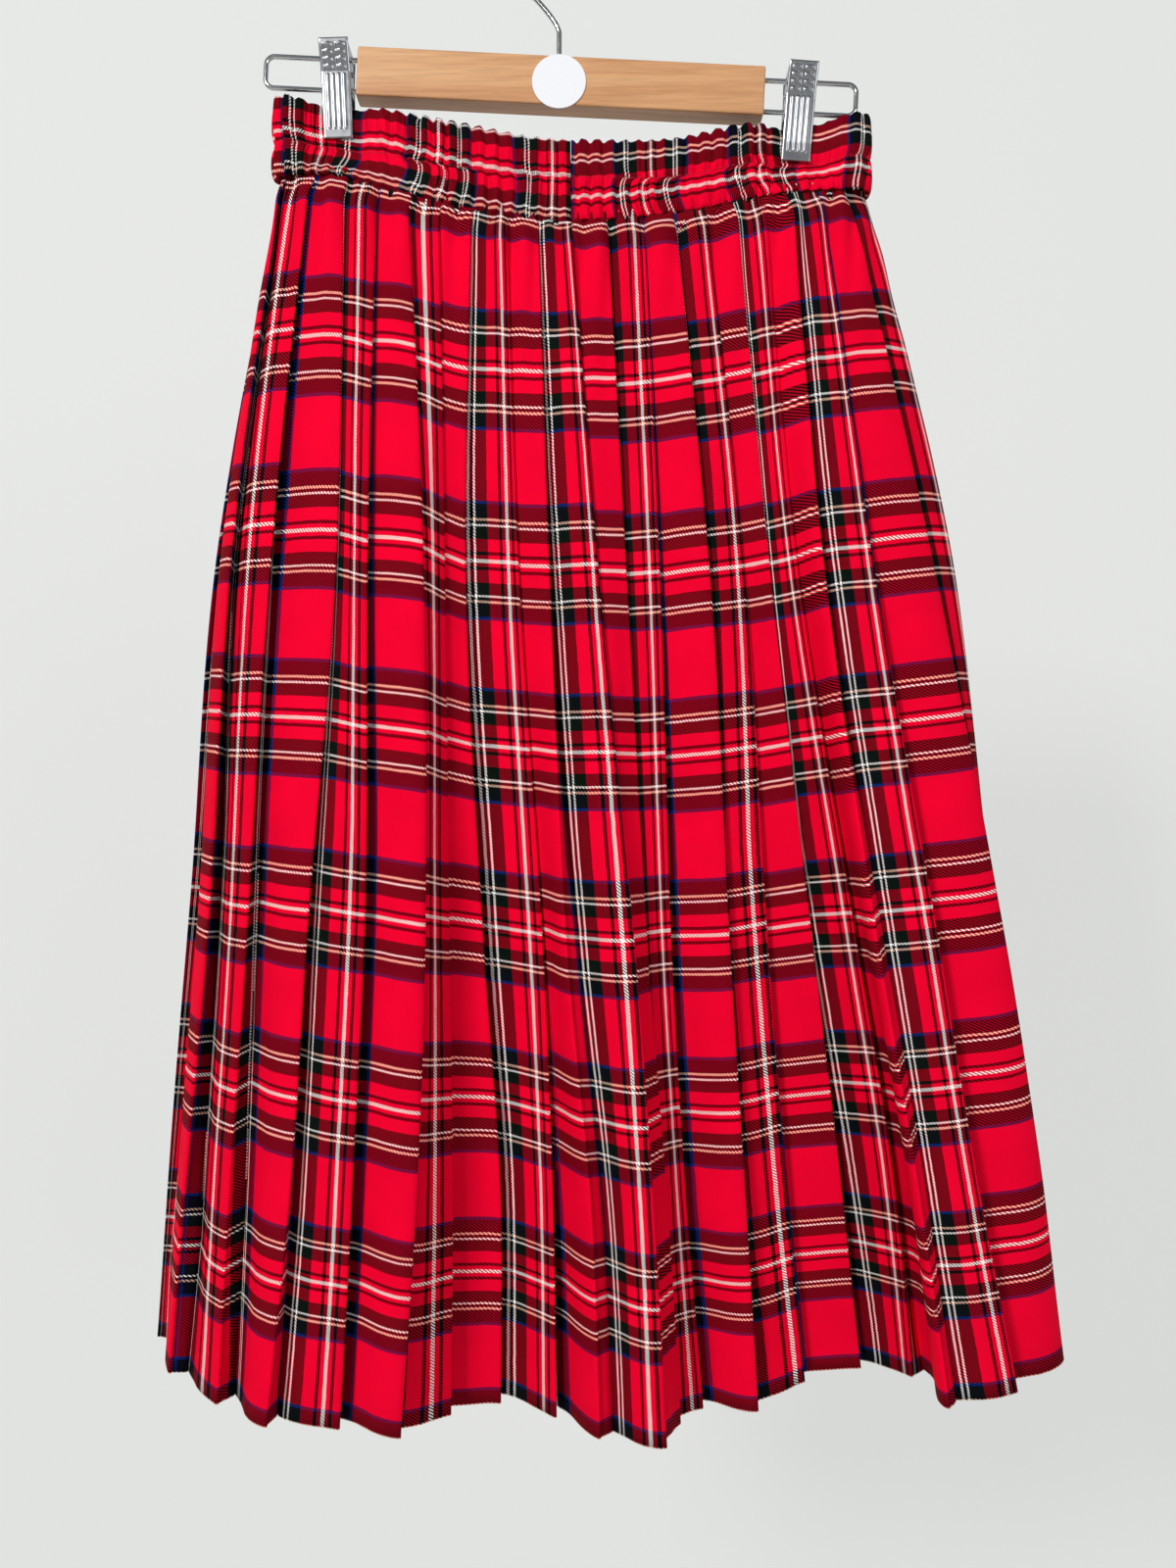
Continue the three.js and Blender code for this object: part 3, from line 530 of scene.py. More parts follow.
# Profile of the band in three runs: up the outside of the lower channel from below the seam, up
# the outside of the upper one and down its inside, and down the inside of the lower one. A row is
# the place between the sewing lines, distance out from the wall's middle, ruffle and clips' pinch.
BAND_COLUMNS = ("part", "out", "ruffle", "pinch")
BAND_PROFILE = [
    ("seam", [
        (-0.06, -0.6, 0.5, 0), (-0.05, 0.4, 0.6, 0), (0, 1.3, 0.8, 0), (0.08, 1.9, 0.9, 0.1),
        (0.20, 2.3, 1, 0.25), (0.35, 2.5, 1, 0.45), (0.50, 2.5, 1, 0.6), (0.65, 2.4, 1, 0.75),
        (0.78, 2.1, 0.95, 0.85), (0.88, 1.7, 0.85, 0.95), (0.95, 1.2, 0.7, 1),
    ]),
    ("stitch", [
        (0, 0.7, 0.6, 1), (0.05, 1.2, 0.7, 1), (0.13, 1.7, 0.85, 1), (0.25, 2.1, 0.95, 1),
        (0.40, 2.3, 1, 1), (0.55, 2.3, 1, 1), (0.70, 2.1, 1, 1), (0.83, 1.8, 1, 1),
        (0.93, 1.3, 1.1, 1), (0.99, 0.6, 1.15, 1), (1.01, -0.2, 1.15, 1), (0.97, -0.9, 1, 1),
        (0.50, -1.4, 0.8, 1), (0, -0.8, 0.6, 1),
    ]),
    ("seam", [(0.50, -1.4, 0.8, 0.6), (0, -1.1, 0.6, 0)]),
]
LINE_ABOVE = {"seam": "stitch", "stitch": "top"}

# Place of the check along the strip and the height of its white line above the seam,
# on the two sides of the join
STRIP = {"start": -77.0, "end": 16.3 + 10 * SETT, "gather_right": 0.61, "gather_left": 0.627}
STRIP_PIVOT = {"right": 11.9, "left": 25.0}

CLIPS = {
    "left": {"x": -130, "tilt": math.radians(-1.8)},
    "right": {"x": 141, "tilt": math.radians(4.2)},
}
PLATE_WIDTH = 17


def band_rows():
    """The profile's rows with their names, each with the sewing line at its foot."""
    return [
        {"low": low, **dict(zip(BAND_COLUMNS, values))} for low, run in BAND_PROFILE for values in run
    ]


def band_loop(s):
    """Point and outward direction of the flattened loop, from the middle of the front."""
    straight, bend = BAND_STRAIGHT, BAND_BEND
    at = np.mod(s, BAND_ROUND)
    right, left = (at - straight) / BAND_DEPTH, (at - 3 * straight - bend) / BAND_DEPTH
    parts = [at < straight, at < straight + bend, at < 3 * straight + bend, at < 3 * straight + 2 * bend]
    middle = np.select(parts, [at, straight, 2 * straight + bend - at, -straight], at - BAND_ROUND)
    nx = np.select(parts, [0, np.sin(right), 0, -np.sin(left)], 0)
    nd = np.select(parts, [1, np.cos(right), -1, -np.cos(left)], 1)
    return middle + BAND_DEPTH * nx, BAND_DEPTH * nd, nx, nd


def pinch_at(x):
    """How much the clips press the band together: 1 under a clip, 0 far from both."""
    found = np.zeros_like(x)
    for clip in CLIPS.values():
        away = np.maximum(np.abs(x - (clip["x"] - SKIRT_X)) - PLATE_WIDTH / 2 - PINCH_PAST, 0)
        found = np.maximum(found, np.exp(-((away / PINCH_REACH) ** 2)))
    return found


def ruffle_at(s, row):
    """Uneven gathers: the two channels differ, and each gather leans a little."""
    e, channel = UNEVEN, CHANNEL[row["low"]]
    lean = e["lean"] * math.sin(math.pi * row["part"]) * np.sin(s / e["lean_every"] + channel["lean"])
    drift = e["drift"] * np.sin(s / e["drift_every"] + e["drift_shift"])
    drift = drift + e["stray"] * np.sin(s / e["stray_every"] + e["stray_shift"])
    phase = s * (2 * math.pi * RUFFLES / BAND_ROUND) + drift + lean + channel["shift"]
    rise = 1 - e["rise"] + e["rise"] * np.sin(s / e["rise_every"] + channel["rise"])
    fine = e["fine"] * np.sin(e["fine_rate"] * phase + e["fine_stray"] * np.sin(s / e["fine_every"]))
    return rise * (np.sin(phase) + fine)


def pressed_band(x, depth, row):
    """The loop's depth, the wall's thickness and the ruffles' height where the clips press them."""
    squeeze = row["pinch"] * pinch_at(x)
    depth = depth * (1 - squeeze) + np.sign(depth) * PINCHED_DEPTH * squeeze
    wall = row["out"] * (1 - squeeze * (1 - PINCHED_WALL / BAND_WALL))
    return depth, wall, RUFFLE_HEIGHT * row["ruffle"] * (1 - (1 - PINCHED_RUFFLE) * squeeze)


def strip_u(s):
    """Place along the cloth strip, at each distance from its join."""
    quarter = BAND_HALF - JOIN["x"] + BAND_DEPTH * (math.pi / 2 - 1)
    other = BAND_HALF + JOIN["x"] + BAND_DEPTH * (math.pi / 2 - 1)
    places = [0, quarter, BAND_ROUND - other, BAND_ROUND]
    right = STRIP["start"] + quarter / STRIP["gather_right"]
    left = STRIP["end"] - other / STRIP["gather_left"]
    return np.interp(s, places, [STRIP["start"], right, left, STRIP["end"]])


def waistband():
    """Gathered strip round the flattened loop, from its join near the middle of the front."""
    columns = RUFFLES * COLUMNS_A_RUFFLE
    along = np.linspace(0, BAND_ROUND, columns + 1)
    right_half = along < BAND_ROUND / 2
    ends = np.minimum(along, BAND_ROUND - along)
    whole = smooth_step(0, JOIN["reach"], ends)
    gap = np.where(right_half, 1, -1) * JOIN["gap"] * (1 - smooth_step(0, JOIN["gap_reach"], ends))
    x0, depth0, nx, nd = band_loop(JOIN["x"] + along + gap)
    seam = band_height(x0, "seam")
    pivot = np.where(right_half, STRIP_PIVOT["right"], STRIP_PIVOT["left"])
    points, cloth = [], []
    for row in band_rows():
        depth, wall, height = pressed_band(x0, depth0, row)
        ruffle = ruffle_at(along, row) * whole
        wave = height * ruffle
        out = wall * (JOIN["out"] + (1 - JOIN["out"]) * whole) + wave
        low, high = band_height(x0, row["low"]), band_height(x0, LINE_ABOVE[row["low"]])
        z = low + (high - low) * row["part"]
        if row["part"] > TOP_EDGE and row["low"] == "stitch":
            z = z + TOP_LIFT * row["ruffle"] * ruffle
        arc = np.concatenate([[0], np.cumsum(np.hypot(np.diff(along), np.diff(wave)))])
        u = strip_u(arc * BAND_ROUND / arc[-1])
        points.append(np.column_stack([x0 + nx * out + SKIRT_X, -(depth + nd * out), z]))
        cloth.append(np.column_stack([u, pivot - (z - seam)]))
    points, cloth = points[::-1], cloth[::-1]
    rows, count = len(points), columns + 1
    faces = grid_faces(rows, count)
    for c in range(columns):
        a, b = (rows - 1) * count + c, c
        faces.append([a, b, b + 1, a + 1])
    made = make_mesh("waistband_cloth", np.vstack(points), faces, np.vstack(cloth))
    mesh = bmesh.new()
    mesh.from_mesh(made.data)
    bmesh.ops.holes_fill(mesh, edges=[e for e in mesh.edges if e.is_boundary])
    bmesh.ops.recalc_face_normals(mesh, faces=mesh.faces)
    mesh.to_mesh(made.data)
    mesh.free()
    made.data.shade_smooth()
    return made


# Materials

SMEAR_SMOOTHER = 0.75  # times the metal's own roughness
SMEAR_ROUGHER = 1.35


class Nodes:
    """Short names for building a material's nodes."""

    def __init__(self, name):
        self.material = bpy.data.materials.new(name)
        self.material.use_nodes = True
        self.tree = self.material.node_tree
        self.shader = self.tree.nodes["Principled BSDF"]

    def add(self, kind, **settings):
        node = self.tree.nodes.new(kind)
        for key, value in settings.items():
            setattr(node, key, value)
        return node

    def link(self, source, target):
        self.tree.links.new(source, target)

    def put(self, socket, value):
        """Gives a socket a value, or joins another node's output to it."""
        if isinstance(value, (int, float, tuple)):
            socket.default_value = value
        elif value is not None:
            self.link(value, socket)

    def surface(self, **inputs):
        """Fills the shader's own sockets, with an underscore for each space in a name."""
        for name, value in inputs.items():
            self.put(self.shader.inputs[name.replace("_", " ")], value)

    def math(self, operation, a, b=None, c=None):
        node = self.add("ShaderNodeMath", operation=operation)
        for socket, value in zip(node.inputs, (a, b, c)):
            self.put(socket, value)
        return node.outputs[0]

    def mix_colour(self, factor, a, b, blend="MIX"):
        node = self.add("ShaderNodeMix", data_type="RGBA", blend_type=blend)
        for socket, value in zip((node.inputs[0], node.inputs[6], node.inputs[7]), (factor, a, b)):
            self.put(socket, value)
        return node.outputs[2]

    def noise(self, vector, scale, detail=2.0, roughness=0.5):
        node = self.add("ShaderNodeTexNoise")
        names = ("Vector", "Scale", "Detail", "Roughness")
        for name, value in zip(names, (vector, scale, detail, roughness)):
            self.put(node.inputs[name], value)
        return node.outputs["Fac"]

    def ramp(self, factor, stops, interpolation="LINEAR"):
        node = self.add("ShaderNodeValToRGB")
        node.color_ramp.interpolation = interpolation
        elements = node.color_ramp.elements
        while len(elements) < len(stops):
            elements.new(1.0)
        for element, (place, colour) in zip(elements, stops):
            element.position = place
            element.color = colour
        self.link(factor, node.inputs["Fac"])
        return node.outputs["Color"]

    def bump(self, height, distance, strength=1.0, normal=None):
        node = self.add("ShaderNodeBump")
        names = ("Height", "Distance", "Strength", "Normal")
        for name, value in zip(names, (height, distance, strength, normal)):
            self.put(node.inputs[name], value)
        return node.outputs["Normal"]


def check_cloth(name, lean=1, puckers=0):
    """Twill woven in a traditional check. Warp and weft each have their own stripes.

    Its diagonals fall to the right where lean is 1, and to the left where it is -1. "puckers" is how
    deep the fine creases across a gathered strip are, in metres.
    """
    n = Nodes(name)
    place = n.add("ShaderNodeAttribute", attribute_name="cloth")
    wobble = n.noise(place.outputs["Vector"], scale=160, detail=1)
    split = n.add("ShaderNodeSeparateXYZ")
    n.link(place.outputs["Vector"], split.inputs[0])
    shift = n.math("MULTIPLY_ADD", wobble, YARN_WOBBLE, -YARN_WOBBLE / 2)
    u = n.math("ADD", split.outputs[0], shift)
    w = n.math("ADD", split.outputs[1], shift)
    half = SETT / 2

    def stripes(coordinate, lines):
        at = n.math("DIVIDE", n.math("PINGPONG", coordinate, half * MM), half * MM)
        stops = [(start / HALF_THREADS, srgb(*YARN[yarn])) for start, yarn in lines]
        return n.ramp(at, stops, "CONSTANT")

    def channels(colour):
        node = n.add("ShaderNodeSeparateColor")
        n.link(colour, node.inputs[0])
        return node.outputs

    def round_yarn(coordinate):
        return n.math("SINE", n.math("MULTIPLY", n.math("FRACT", coordinate), math.pi))

    warp, weft = stripes(u, WARP_LINES), stripes(w, WEFT_LINES)
    i = n.math("DIVIDE", u, THREAD * MM)
    j = n.math("DIVIDE", w, THREAD * MM)
    leaning = n.math("MULTIPLY", n.math("FLOOR", j), lean)
    step = n.math("SUBTRACT", n.math("FLOOR", i), leaning)
    over = n.math("LESS_THAN", n.math("FLOORED_MODULO", step, TWILL_REPEAT), TWILL_OVER)
    colour = n.mix_colour(over, weft, warp)
    across = n.math("MULTIPLY", round_yarn(i), over)
    along = n.math("MULTIPLY", round_yarn(j), n.math("SUBTRACT", 1.0, over))
    height = n.math("ADD", across, along)

    # painted shade: where red and dark yarns cross, the yarn on top is darkened, most at its edges, as
    # by their shadow
    beside = n.math("ABSOLUTE", n.math("SUBTRACT", channels(warp)[0], channels(weft)[0]))
    red = n.math("SUBTRACT", 1.0, channels(colour)[1])
    edges = n.math("MULTIPLY_ADD", height, -0.5, 1.0)
    painted_yarn_shadow = n.math("MULTIPLY", n.math("MULTIPLY", beside, red), edges)
    tone = n.noise(place.outputs["Vector"], scale=34, detail=3)
    uneven = n.math("MULTIPLY_ADD", tone, TONE_RANGE, TONE_LEAST)
    # uneven dye tone times the painted yarn shadow
    shade = n.math("MULTIPLY", uneven, n.math("SUBTRACT", 1.0, painted_yarn_shadow))
    dimmed = n.add("ShaderNodeVectorMath", operation="SCALE")
    n.link(colour, dimmed.inputs[0])
    n.link(shade, dimmed.inputs["Scale"])
    creased = None
    if puckers:
        drawn = n.add("ShaderNodeMapping")
        drawn.inputs["Scale"].default_value = (150, 34, 1)
        n.link(place.outputs["Vector"], drawn.inputs["Vector"])
        fine = n.noise(drawn.outputs[0], scale=1.0, detail=2, roughness=0.55)
        creased = n.bump(fine, distance=puckers)
    twill = n.bump(height, distance=0.00012, strength=0.6, normal=creased)
    n.surface(Base_Color=dimmed.outputs[0], Normal=twill, Roughness=0.82, Specular_IOR_Level=0.04)
    return n.material


def wood():
    """Light brown wood with a straight grain along the bar, under a satin lacquer."""
    n = Nodes("lacquered wood")
    place = n.add("ShaderNodeTexCoord")
    stretch = n.add("ShaderNodeMapping")
    stretch.inputs["Scale"].default_value = (3.0, 60.0, 60.0)
    stretch.inputs["Rotation"].default_value = (0, -BAR_TILT, 0)
    n.link(place.outputs["Object"], stretch.inputs["Vector"])
    figure = n.noise(stretch.outputs[0], scale=1.6, detail=3, roughness=0.5)
    fine = n.noise(stretch.outputs[0], scale=9.0, detail=4, roughness=0.65)
    base = n.ramp(figure, [
        (0.30, srgb(196, 141, 96)), (0.5, srgb(208, 156, 110)), (0.72, srgb(214, 168, 122)),
    ])
    pores = n.ramp(fine, [(0.35, (0.82, 0.79, 0.76, 1)), (0.6, (1, 1, 1, 1))])
    n.surface(
        Base_Color=n.mix_colour(1.0, base, pores, "MULTIPLY"),
        Normal=n.bump(fine, distance=0.0001, strength=0.25),
        Roughness=0.42, Coat_Weight=0.25, Coat_Roughness=0.2,
    )
    return n.material


def chrome(name, colour, roughness):
    """Bright metal, in places a little smoother and in places a little rougher."""
    n = Nodes(name)
    place = n.add("ShaderNodeTexCoord")
    smears = n.noise(place.outputs["Object"], scale=220, detail=3)
    low, high = roughness * SMEAR_SMOOTHER, roughness * SMEAR_ROUGHER
    n.surface(
        Base_Color=colour, Metallic=1.0,
        Roughness=n.math("MULTIPLY_ADD", smears, high - low, low),
        Normal=n.bump(smears, distance=0.00003, strength=0.3),
    )
    return n.material


def fibrous(name, scale, detail, tones, depth, strength, roughness):
    """Fine fibres between two tones, as in paper or thread."""
    n = Nodes(name)
    place = n.add("ShaderNodeTexCoord")
    fibres = n.noise(place.outputs["Object"], scale, detail)
    n.surface(
        Base_Color=n.ramp(fibres, [(0.3, tones[0]), (0.7, tones[1])]),
        Normal=n.bump(fibres, depth, strength), Roughness=roughness,
    )
    return n.material


def paper():
    tones = (srgb(226, 227, 232), srgb(233, 234, 238))
    return fibrous("white paper", 900, 3, tones, depth=0.00004, strength=0.3, roughness=0.45)


def thread_material():
    tones = (srgb(120, 4, 22), srgb(178, 8, 34))
    return fibrous("sewing thread", 2500, 2, tones, depth=0.00008, strength=0.5, roughness=0.7)


def dress(made, material, slot, *nodes):
    """Gives a piece its material and its body, and hides the solids that it stands for. "slot" is not
    used.
    """
    made.data.materials.clear()
    made.data.materials.append(material)
    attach(made, "root")
    if nodes:
        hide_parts(*nodes)


# Hanger

BAR = {"x": 1, "z": -90.3, "length": 238, "height": 28.5, "depth": 14, "round": 1.2}
BAR_TILT = math.radians(2.8)
WIRE = 1.5
LOOP = {"reach": 173.5, "upper": 9.4, "lower": -9, "corner": 5}
SEAT_GAP = {"loop": 0.05, "hook": 0.25}  # between the bar and the wires that come out of it
HOOK = {
    "wire": 1.6, "bowl": 22.6, "stem_top": -57, "bend_x": -4.5, "bend_z": -49.5,
    "start": 235, "end": -38, "steps": 44,
}
PIN = {"down": 15.3, "radius": 1.5, "overhang": 0.9, "head": 0.5}
SPRING = {"radius": 3.3, "half": 5.8, "wire": 0.45, "turns": 9, "steps": 16}
PLATE_PROFILE = {
    "down": [0, 3, 17, 32, 44, 54.5],
    "depth": [11.5, 11, 6.6, 5.6, 4.4, 4.4],
}
PLATE_HALF_WALL = 0.5
BEAM = Matrix.Translation((BAR["x"], 0, BAR["z"])) @ Matrix.Rotation(BAR_TILT, 4, "Y")


def clip_matrix(side):
    """Where a clip hangs, seen from the top of its plates."""
    clip = CLIPS[side]
    height = BAR["z"] - (clip["x"] - BAR["x"]) * math.tan(BAR_TILT)
    hung = Matrix.Translation((clip["x"], 0, height)) @ Matrix.Rotation(clip["tilt"], 4, "Y")
    return hung @ Matrix.Translation((0, 0, PIN["down"]))


def placed(points, matrix):
    return [tuple(matrix @ Vector(p)) for p in points]


def tube_faces(rings, sides, first=0, turned=False):
    """Faces round a tube whose rings of points follow each other from "first", and its two ends.

    They are turned where the points of a ring run the other way round.
    """
    faces = []
    for r in range(rings - 1):
        for k in range(sides):
            a, b = first + r * sides + k, first + r * sides + (k + 1) % sides
            faces.append([a, a + sides, b + sides, b] if turned else [a, b, b + sides, a + sides])
    near = [first + k for k in range(sides)]
    far = [point + (rings - 1) * sides for point in near]
    return faces + ([near, far[::-1]] if turned else [near[::-1], far])


def tube(name, path, radius, sides=16, soft=0.25, segments=2):
    """Round bar along a path of points, with closed ends whose edges are soft."""
    path = [Vector(p) for p in path]
    rings = []
    normal = None
    for i, p in enumerate(path):
        ahead = (path[min(i + 1, len(path) - 1)] - path[max(i - 1, 0)]).normalized()
        if normal is None:
            start = Vector((0, 1, 0)) if abs(ahead.y) < 0.9 else Vector((1, 0, 0))
            normal = (start - ahead * start.dot(ahead)).normalized()
        else:
            normal = (normal - ahead * normal.dot(ahead)).normalized()
        other = ahead.cross(normal)
        turns = [2 * math.pi * k / sides for k in range(sides)]
        rings.append([p + (normal * math.cos(a) + other * math.sin(a)) * radius for a in turns])
    points = [tuple(p) for ring in rings for p in ring]
    made = make_mesh(name, points, tube_faces(len(rings), sides))
    bevel = made.modifiers.new("soft ends", "BEVEL")
    bevel.width = soft * MM
    bevel.segments = segments
    bevel.limit_method = "ANGLE"
    bevel.angle_limit = math.radians(60)
    return made


def points_round(x, z, radius, angles):
    """Points round a centre, at angles in degrees."""
    turns = [math.radians(angle) for angle in angles]
    return [(x + radius * math.cos(a), z + radius * math.sin(a)) for a in turns]


def end_loop(name, sign):
    """Wire loop at one end of the bar: sign is 1 for the right and -1 for the left."""
    start = BAR["length"] / 2 + SEAT_GAP["loop"]
    reach, upper, lower, corner = (LOOP[key] for key in ("reach", "upper", "lower", "corner"))
    path = [(start, upper), (reach - corner, upper)]
    path += points_round(reach - corner, upper - corner, corner, range(80, 0, -10))
    path += [(reach, upper - corner), (reach, lower + corner)]
    path += points_round(reach - corner, lower + corner, corner, range(-10, -90, -10))
    path += [(reach - corner, lower), (start, lower)]
    points = placed([(sign * x, 0, z) for x, z in path], BEAM)
    return tube(name, points, WIRE)


def rounded(points):
    """The same line with its corners cut, between ends that stay."""
    cut = [points[0]]
    for a, b in zip(points, points[1:]):
        cut += [a.lerp(b, 0.25), a.lerp(b, 0.75)]
    return cut + [points[-1]]


def hook():
    centre = HOOK["wire"] - HOOK["bowl"]
    foot = BAR["z"] + BAR["height"] / 2 + SEAT_GAP["hook"]
    line = [(0, foot + (HOOK["stem_top"] - foot) * t) for t in (0, 0.25, 0.5, 0.75, 1)]
    line.append((HOOK["bend_x"], HOOK["bend_z"]))
    steps, sweep = HOOK["steps"], HOOK["end"] - HOOK["start"]
    angles = [HOOK["start"] + sweep * i / steps for i in range(steps + 1)]
    line += points_round(0, centre, HOOK["bowl"], angles)
    points = rounded(rounded([Vector((x, 0, z)) for x, z in line]))
    return tube("hook_wire", points, HOOK["wire"], sides=20)


def bar():
    mesh = bmesh.new()
    bmesh.ops.create_cube(mesh, size=1.0)
    size = Matrix.Diagonal((BAR["length"], BAR["depth"], BAR["height"], 1))
    bmesh.ops.transform(mesh, matrix=Matrix.Scale(MM, 4) @ BEAM @ size, verts=mesh.verts)
    bmesh.ops.bevel(
        mesh, geom=list(mesh.edges), offset=BAR["round"] * MM, segments=5, profile=0.5, affect="EDGES",
    )
    data = bpy.data.meshes.new("bar_wood")
    mesh.to_mesh(data)
    mesh.free()
    data.shade_smooth()
    made = add_object("bar_wood", data)
    weighted = made.modifiers.new("flat faces", "WEIGHTED_NORMAL")
    weighted.keep_sharp = True
    return made


FACE = {"step": 0.33, "shoulder": 1.1, "turned_in": 0.3, "clear": 0.04, "wall": 0.35}
CELLS = {
    "top": 2.6, "rows": 4, "pitch": 3.7, "half_height": 1.35, "centre": 3.7, "half_width": 2.9,
    "height": 0.7, "flat": 0.62, "round": 0.75, "slant": 0.45,
}
RIBS = {"top": 19.0, "bottom": 48.5, "count": 4, "pitch": 3.15, "half": 0.95, "height": 0.85}


def embossing(x, down):
    """How far the pressed face of a clip stands out: small cells above, long ribs below."""
    height = np.zeros_like(x)
    for row in range(CELLS["rows"]):
        middle = CELLS["top"] + CELLS["half_height"] + row * CELLS["pitch"]
        for side in (-1, 1):
            away = np.abs(x - side * CELLS["centre"]) / CELLS["half_width"]
            past = np.abs(down - middle) / CELLS["half_height"]
            reach = np.maximum(away, past * CELLS["round"] + away * CELLS["slant"])
            height = np.maximum(height, CELLS["height"] * smooth_step(1.0, CELLS["flat"], reach))
    for k in range(RIBS["count"]):
        centre = (k - (RIBS["count"] - 1) / 2) * RIBS["pitch"]
        past = np.maximum(np.maximum(RIBS["top"] - down, down - RIBS["bottom"]), 0)
        away = np.hypot(x - centre, past) / RIBS["half"]
        height = np.maximum(height, RIBS["height"] * np.sqrt(np.clip(1 - away ** 2, 0, 1)))
    return height


def clip_face(side):
    """Pressed face of one clip's front jaw, a thin shell over its plate."""
    half = PLATE_WIDTH / 2
    length = PLATE_PROFILE["down"][-1]
    columns = int(round(2 * half / FACE["step"])) + 1
    rows = int(round(length / FACE["step"])) + 1
    x, down = np.meshgrid(np.linspace(-half, half, columns), np.linspace(0, length, rows))
    base = np.interp(down, PLATE_PROFILE["down"], PLATE_PROFILE["depth"])
    soft = through(PLATE_PROFILE["down"], PLATE_PROFILE["depth"], down)
    base = np.maximum(base, soft) + PLATE_HALF_WALL + FACE["clear"] + FACE["wall"]
    edge = np.minimum(half - np.abs(x), np.minimum(down, length - down))
    round_off = FACE["shoulder"] * (1 - smooth_step(0, FACE["shoulder"], edge)) ** 2
    depth = base + embossing(x, down) - FACE["turned_in"] * round_off
    points = np.stack([x, -depth, -down], axis=-1).reshape(-1, 3)
    points = placed(points, clip_matrix(side))
    made = make_mesh(f"clip_{side}_face", points, grid_faces(rows, columns))
    return thicken(made, FACE["wall"], -1)


def clip_pin(side):
    half = PLATE_WIDTH / 2 + PIN["overhang"]
    points = [(-half, 0, -PIN["down"]), (half, 0, -PIN["down"])]
    path = placed(points, clip_matrix(side))
    return tube(f"clip_{side}_axle", path, PIN["radius"], sides=28, soft=PIN["head"], segments=3)


def clip_spring(side):
    coil = SPRING["radius"] - SPRING["wire"]
    reach = SPRING["half"] - SPRING["wire"]
    steps = SPRING["steps"] * SPRING["turns"]
    points = []
    for i in range(steps + 1):
        a = 2 * math.pi * SPRING["turns"] * i / steps
        x = -reach + 2 * reach * i / steps
        points.append((x, coil * math.cos(a), coil * math.sin(a) - PIN["down"]))
    path = placed(points, clip_matrix(side))
    return tube(f"clip_{side}_coil", path, SPRING["wire"], sides=8)


# Stitches along the middle of the band

STITCH = {"length": 2.7, "pitch": 3.4, "radius": 0.22, "sides": 6}
STITCH_ARCH = [-0.4, 0.4, 0.64, 0.4, -0.4]  # ring by ring, how far it stands out, in radii
STITCH_THICK = [0.55, 1, 1, 1, 0.55]


def stitches():
    """Line of stitches in the valley between the band's two channels."""
    row = next(row for row in band_rows() if row["low"] == "stitch")
    points, faces = [], []
    count = int(BAND_ROUND // STITCH["pitch"])
    sides, rings = STITCH["sides"], len(STITCH_ARCH)
    for k in range(count):
        along = (k + 0.5) * BAND_ROUND / count + np.linspace(-0.5, 0.5, rings) * STITCH["length"]
        x, depth, nx, nd = band_loop(JOIN["x"] + along)
        depth, wall, height = pressed_band(x, depth, row)
        out = wall + height * ruffle_at(along, row) + STITCH["radius"] * np.array(STITCH_ARCH)
        z = band_height(x, "stitch")
        faces += tube_faces(rings, sides, len(points), turned=True)
        for r, thick in enumerate(STITCH_THICK):
            radius = STITCH["radius"] * thick
            for q in range(sides):
                a = 2 * math.pi * q / sides
                reach = out[r] + radius * math.cos(a)
                across, toward = x[r] + nx[r] * reach, depth[r] + nd[r] * reach
                points.append((across + SKIRT_X, -toward, z[r] + radius * math.sin(a)))
    return make_mesh("waistband_stitches", points, faces)


# Room: a pale wall close behind, a pale floor and soft light

WALL_Y = 0.85
WALL_TOP = 2
FLOOR_Z = -1.6
ROOM_HALF = 4
WALL_GLOW = 0.72
WORLD_STRENGTH = 0.24
# Area lights: place, aim, size, power and colour
LIGHTS = {
    "key": ((-1.7, -2.6, 1.0), (0.02, 0, -0.5), 0.6, 90, (1.0, 0.99, 0.97)),
    "fill": ((1.7, -2.3, 0.2), (0, 0, -0.5), 1.4, 27, (0.97, 0.98, 1.0)),
    "behind": ((0.6, 1.7, 0.9), (0, 0, -0.5), 1.4, 22, (1, 1, 1)),
}


def plain_surface(name, colour, glow=0, see_through_behind=False):
    n = Nodes(name)
    shine = srgb(230, 232, 230)
    n.surface(Base_Color=colour, Roughness=0.9, Emission_Color=shine, Emission_Strength=glow)
    if see_through_behind:
        facing = n.add("ShaderNodeNewGeometry")
        clear = n.add("ShaderNodeBsdfTransparent")
        mix = n.add("ShaderNodeMixShader")
        n.link(facing.outputs["Backfacing"], mix.inputs[0])
        n.link(n.shader.outputs[0], mix.inputs[1])
        n.link(clear.outputs[0], mix.inputs[2])
        n.link(mix.outputs[0], n.tree.nodes["Material Output"].inputs["Surface"])
    return n.material


def stage_plane(name, corners, material):
    data = bpy.data.meshes.new(name)
    data.from_pydata(corners, [], [(0, 1, 2, 3)])
    data.materials.append(material)
    add_object(name, data)


def area_light(name, place, aim, size, power, colour):
    data = bpy.data.lights.new(name, "AREA")
    data.shape = "SQUARE"
    data.size = size
    data.energy = power
    data.color = colour
    made = add_object(name, data)
    made.location = place
    made.rotation_euler = (Vector(aim) - Vector(place)).to_track_quat("-Z", "Y").to_euler()


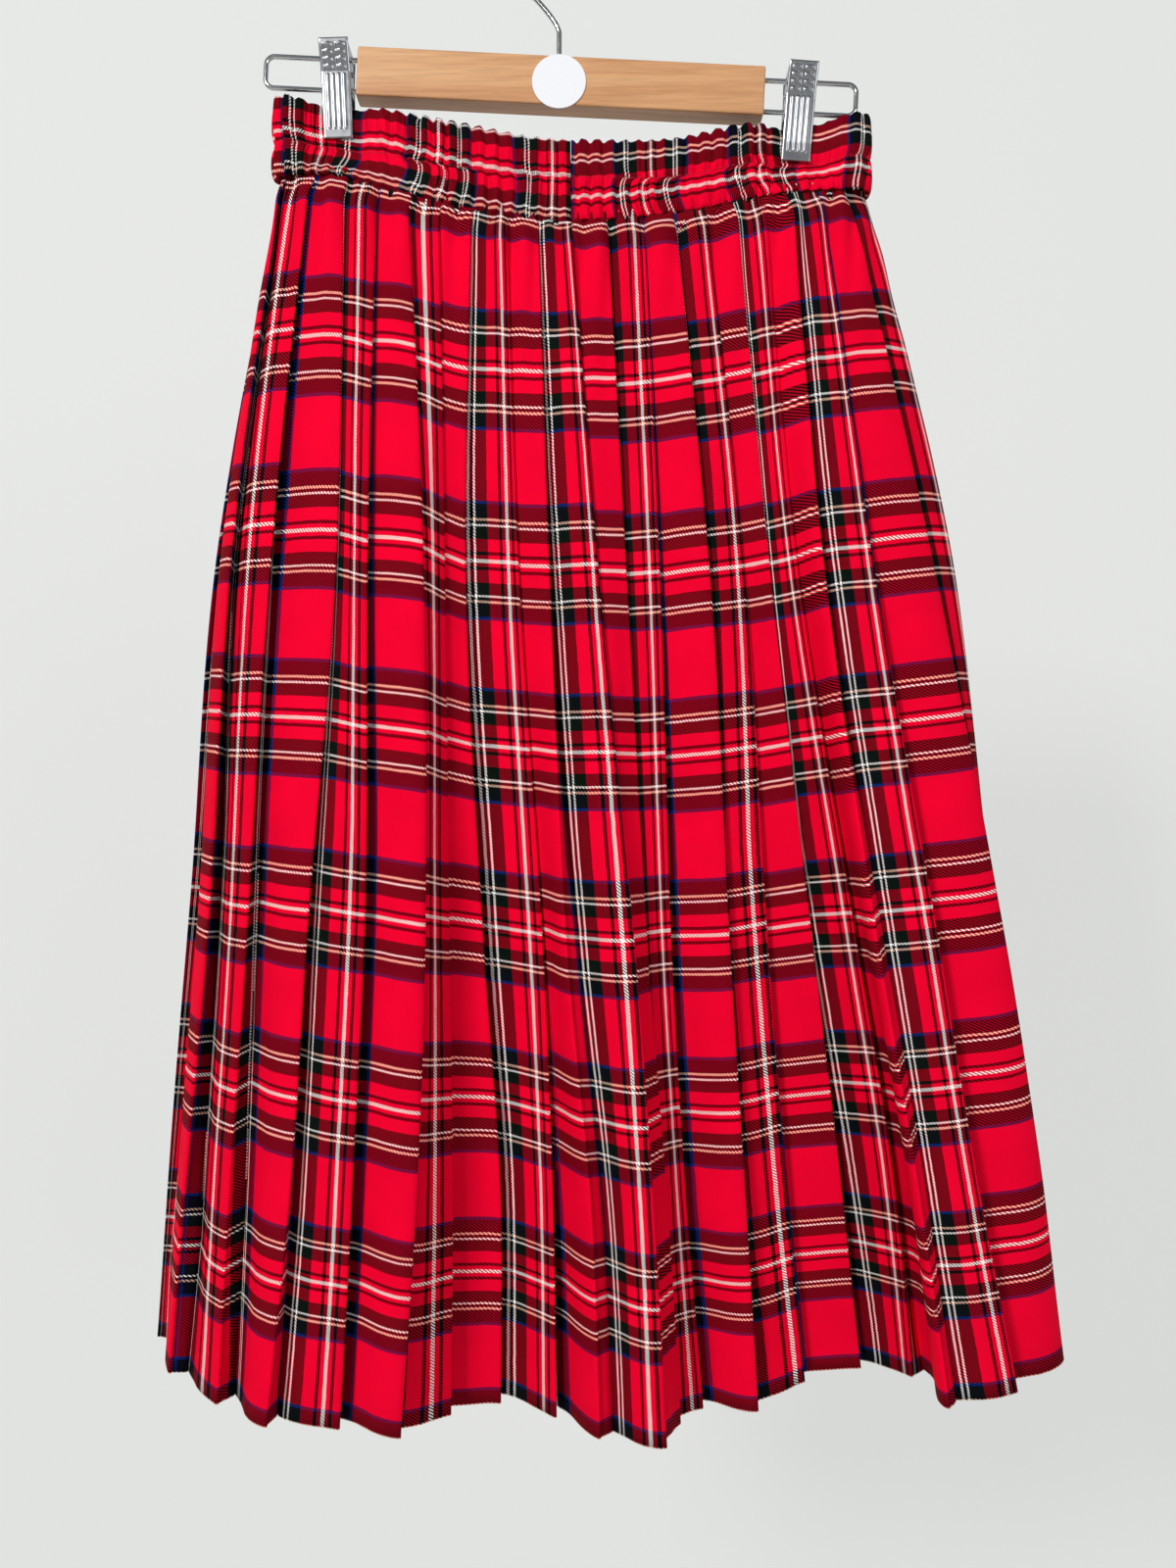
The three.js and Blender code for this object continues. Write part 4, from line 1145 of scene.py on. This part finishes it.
def room():
    wall = plain_surface("pale wall", srgb(130, 131, 130), WALL_GLOW, see_through_behind=True)
    floor = plain_surface("pale floor", srgb(196, 196, 192))
    heights = ((-1, FLOOR_Z), (1, FLOOR_Z), (1, WALL_TOP), (-1, WALL_TOP))
    stage_plane("wall", [(ROOM_HALF * x, WALL_Y, z) for x, z in heights], wall)
    corners = ((-1, -1), (1, -1), (1, 1), (-1, 1))
    stage_plane("floor", [(ROOM_HALF * x, ROOM_HALF * y, FLOOR_Z) for x, y in corners], floor)
    for name, values in LIGHTS.items():
        area_light(name, *values)
    world = bpy.data.worlds.new("room")
    world.use_nodes = True
    background = world.node_tree.nodes["Background"]
    background.inputs["Color"].default_value = srgb(236, 238, 240)
    background.inputs["Strength"].default_value = WORLD_STRENGTH
    bpy.context.scene.world = world


def camera():
    data = bpy.data.cameras.new("camera")
    data.lens = CAMERA["lens"]
    data.sensor_width = CAMERA["sensor"]
    made = add_object("camera", data)
    made.location = (CAMERA["x"] * MM, CAMERA["y"] * MM, CAMERA["z"] * MM)
    made.rotation_euler = (math.radians(90), 0, 0)
    bpy.context.scene.camera = made


def build():
    camera()
    room()
    bpy.context.scene.view_settings.view_transform = "Standard"

    cloth = check_cloth("skirt twill")
    front = skirt_panel("skirt_front_cloth", 0, len(FRONT), FRONT_ROWS)
    dress(front, cloth, "skirt_cloth", "skirt_front")
    back = skirt_panel("skirt_back_cloth", len(FRONT), len(BACK), BACK_ROWS)
    dress(back, cloth, "skirt_cloth", "skirt_back")
    band = waistband()
    band_cloth = check_cloth("waistband twill", lean=-1, puckers=0.005)
    dress(band, band_cloth, "band_cloth", "waistband")
    dress(stitches(), thread_material(), "band_cloth")

    metal = chrome("chromed wire", (0.60, 0.61, 0.63, 1), 0.14)
    pressed = chrome("chromed sheet", (0.34, 0.35, 0.37, 1), 0.3)
    steel = chrome("spring steel", (0.42, 0.43, 0.45, 1), 0.3)
    dress(bar(), wood(), "bar_wood", "hanger_bar")
    for side, sign in (("left", -1), ("right", 1)):
        dress(end_loop(f"loop_{side}_wire", sign), metal, "wire_metal", f"wire_loop_{side}")
    dress(hook(), metal, "wire_metal", "hanger_hook")
    dress(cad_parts["hanger_disc"], paper(), "disc_paper")
    for side in CLIPS:
        dress(clip_face(side), pressed, "clip_metal")
        dress(clip_pin(side), pressed, "clip_metal", f"clip_{side}_pin")
        dress(clip_spring(side), steel, "spring_metal", f"clip_{side}_spring")
        for jaw in ("front_jaw", "back_jaw"):
            dress(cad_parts[f"clip_{side}_{jaw}"], pressed, "clip_metal")


build()
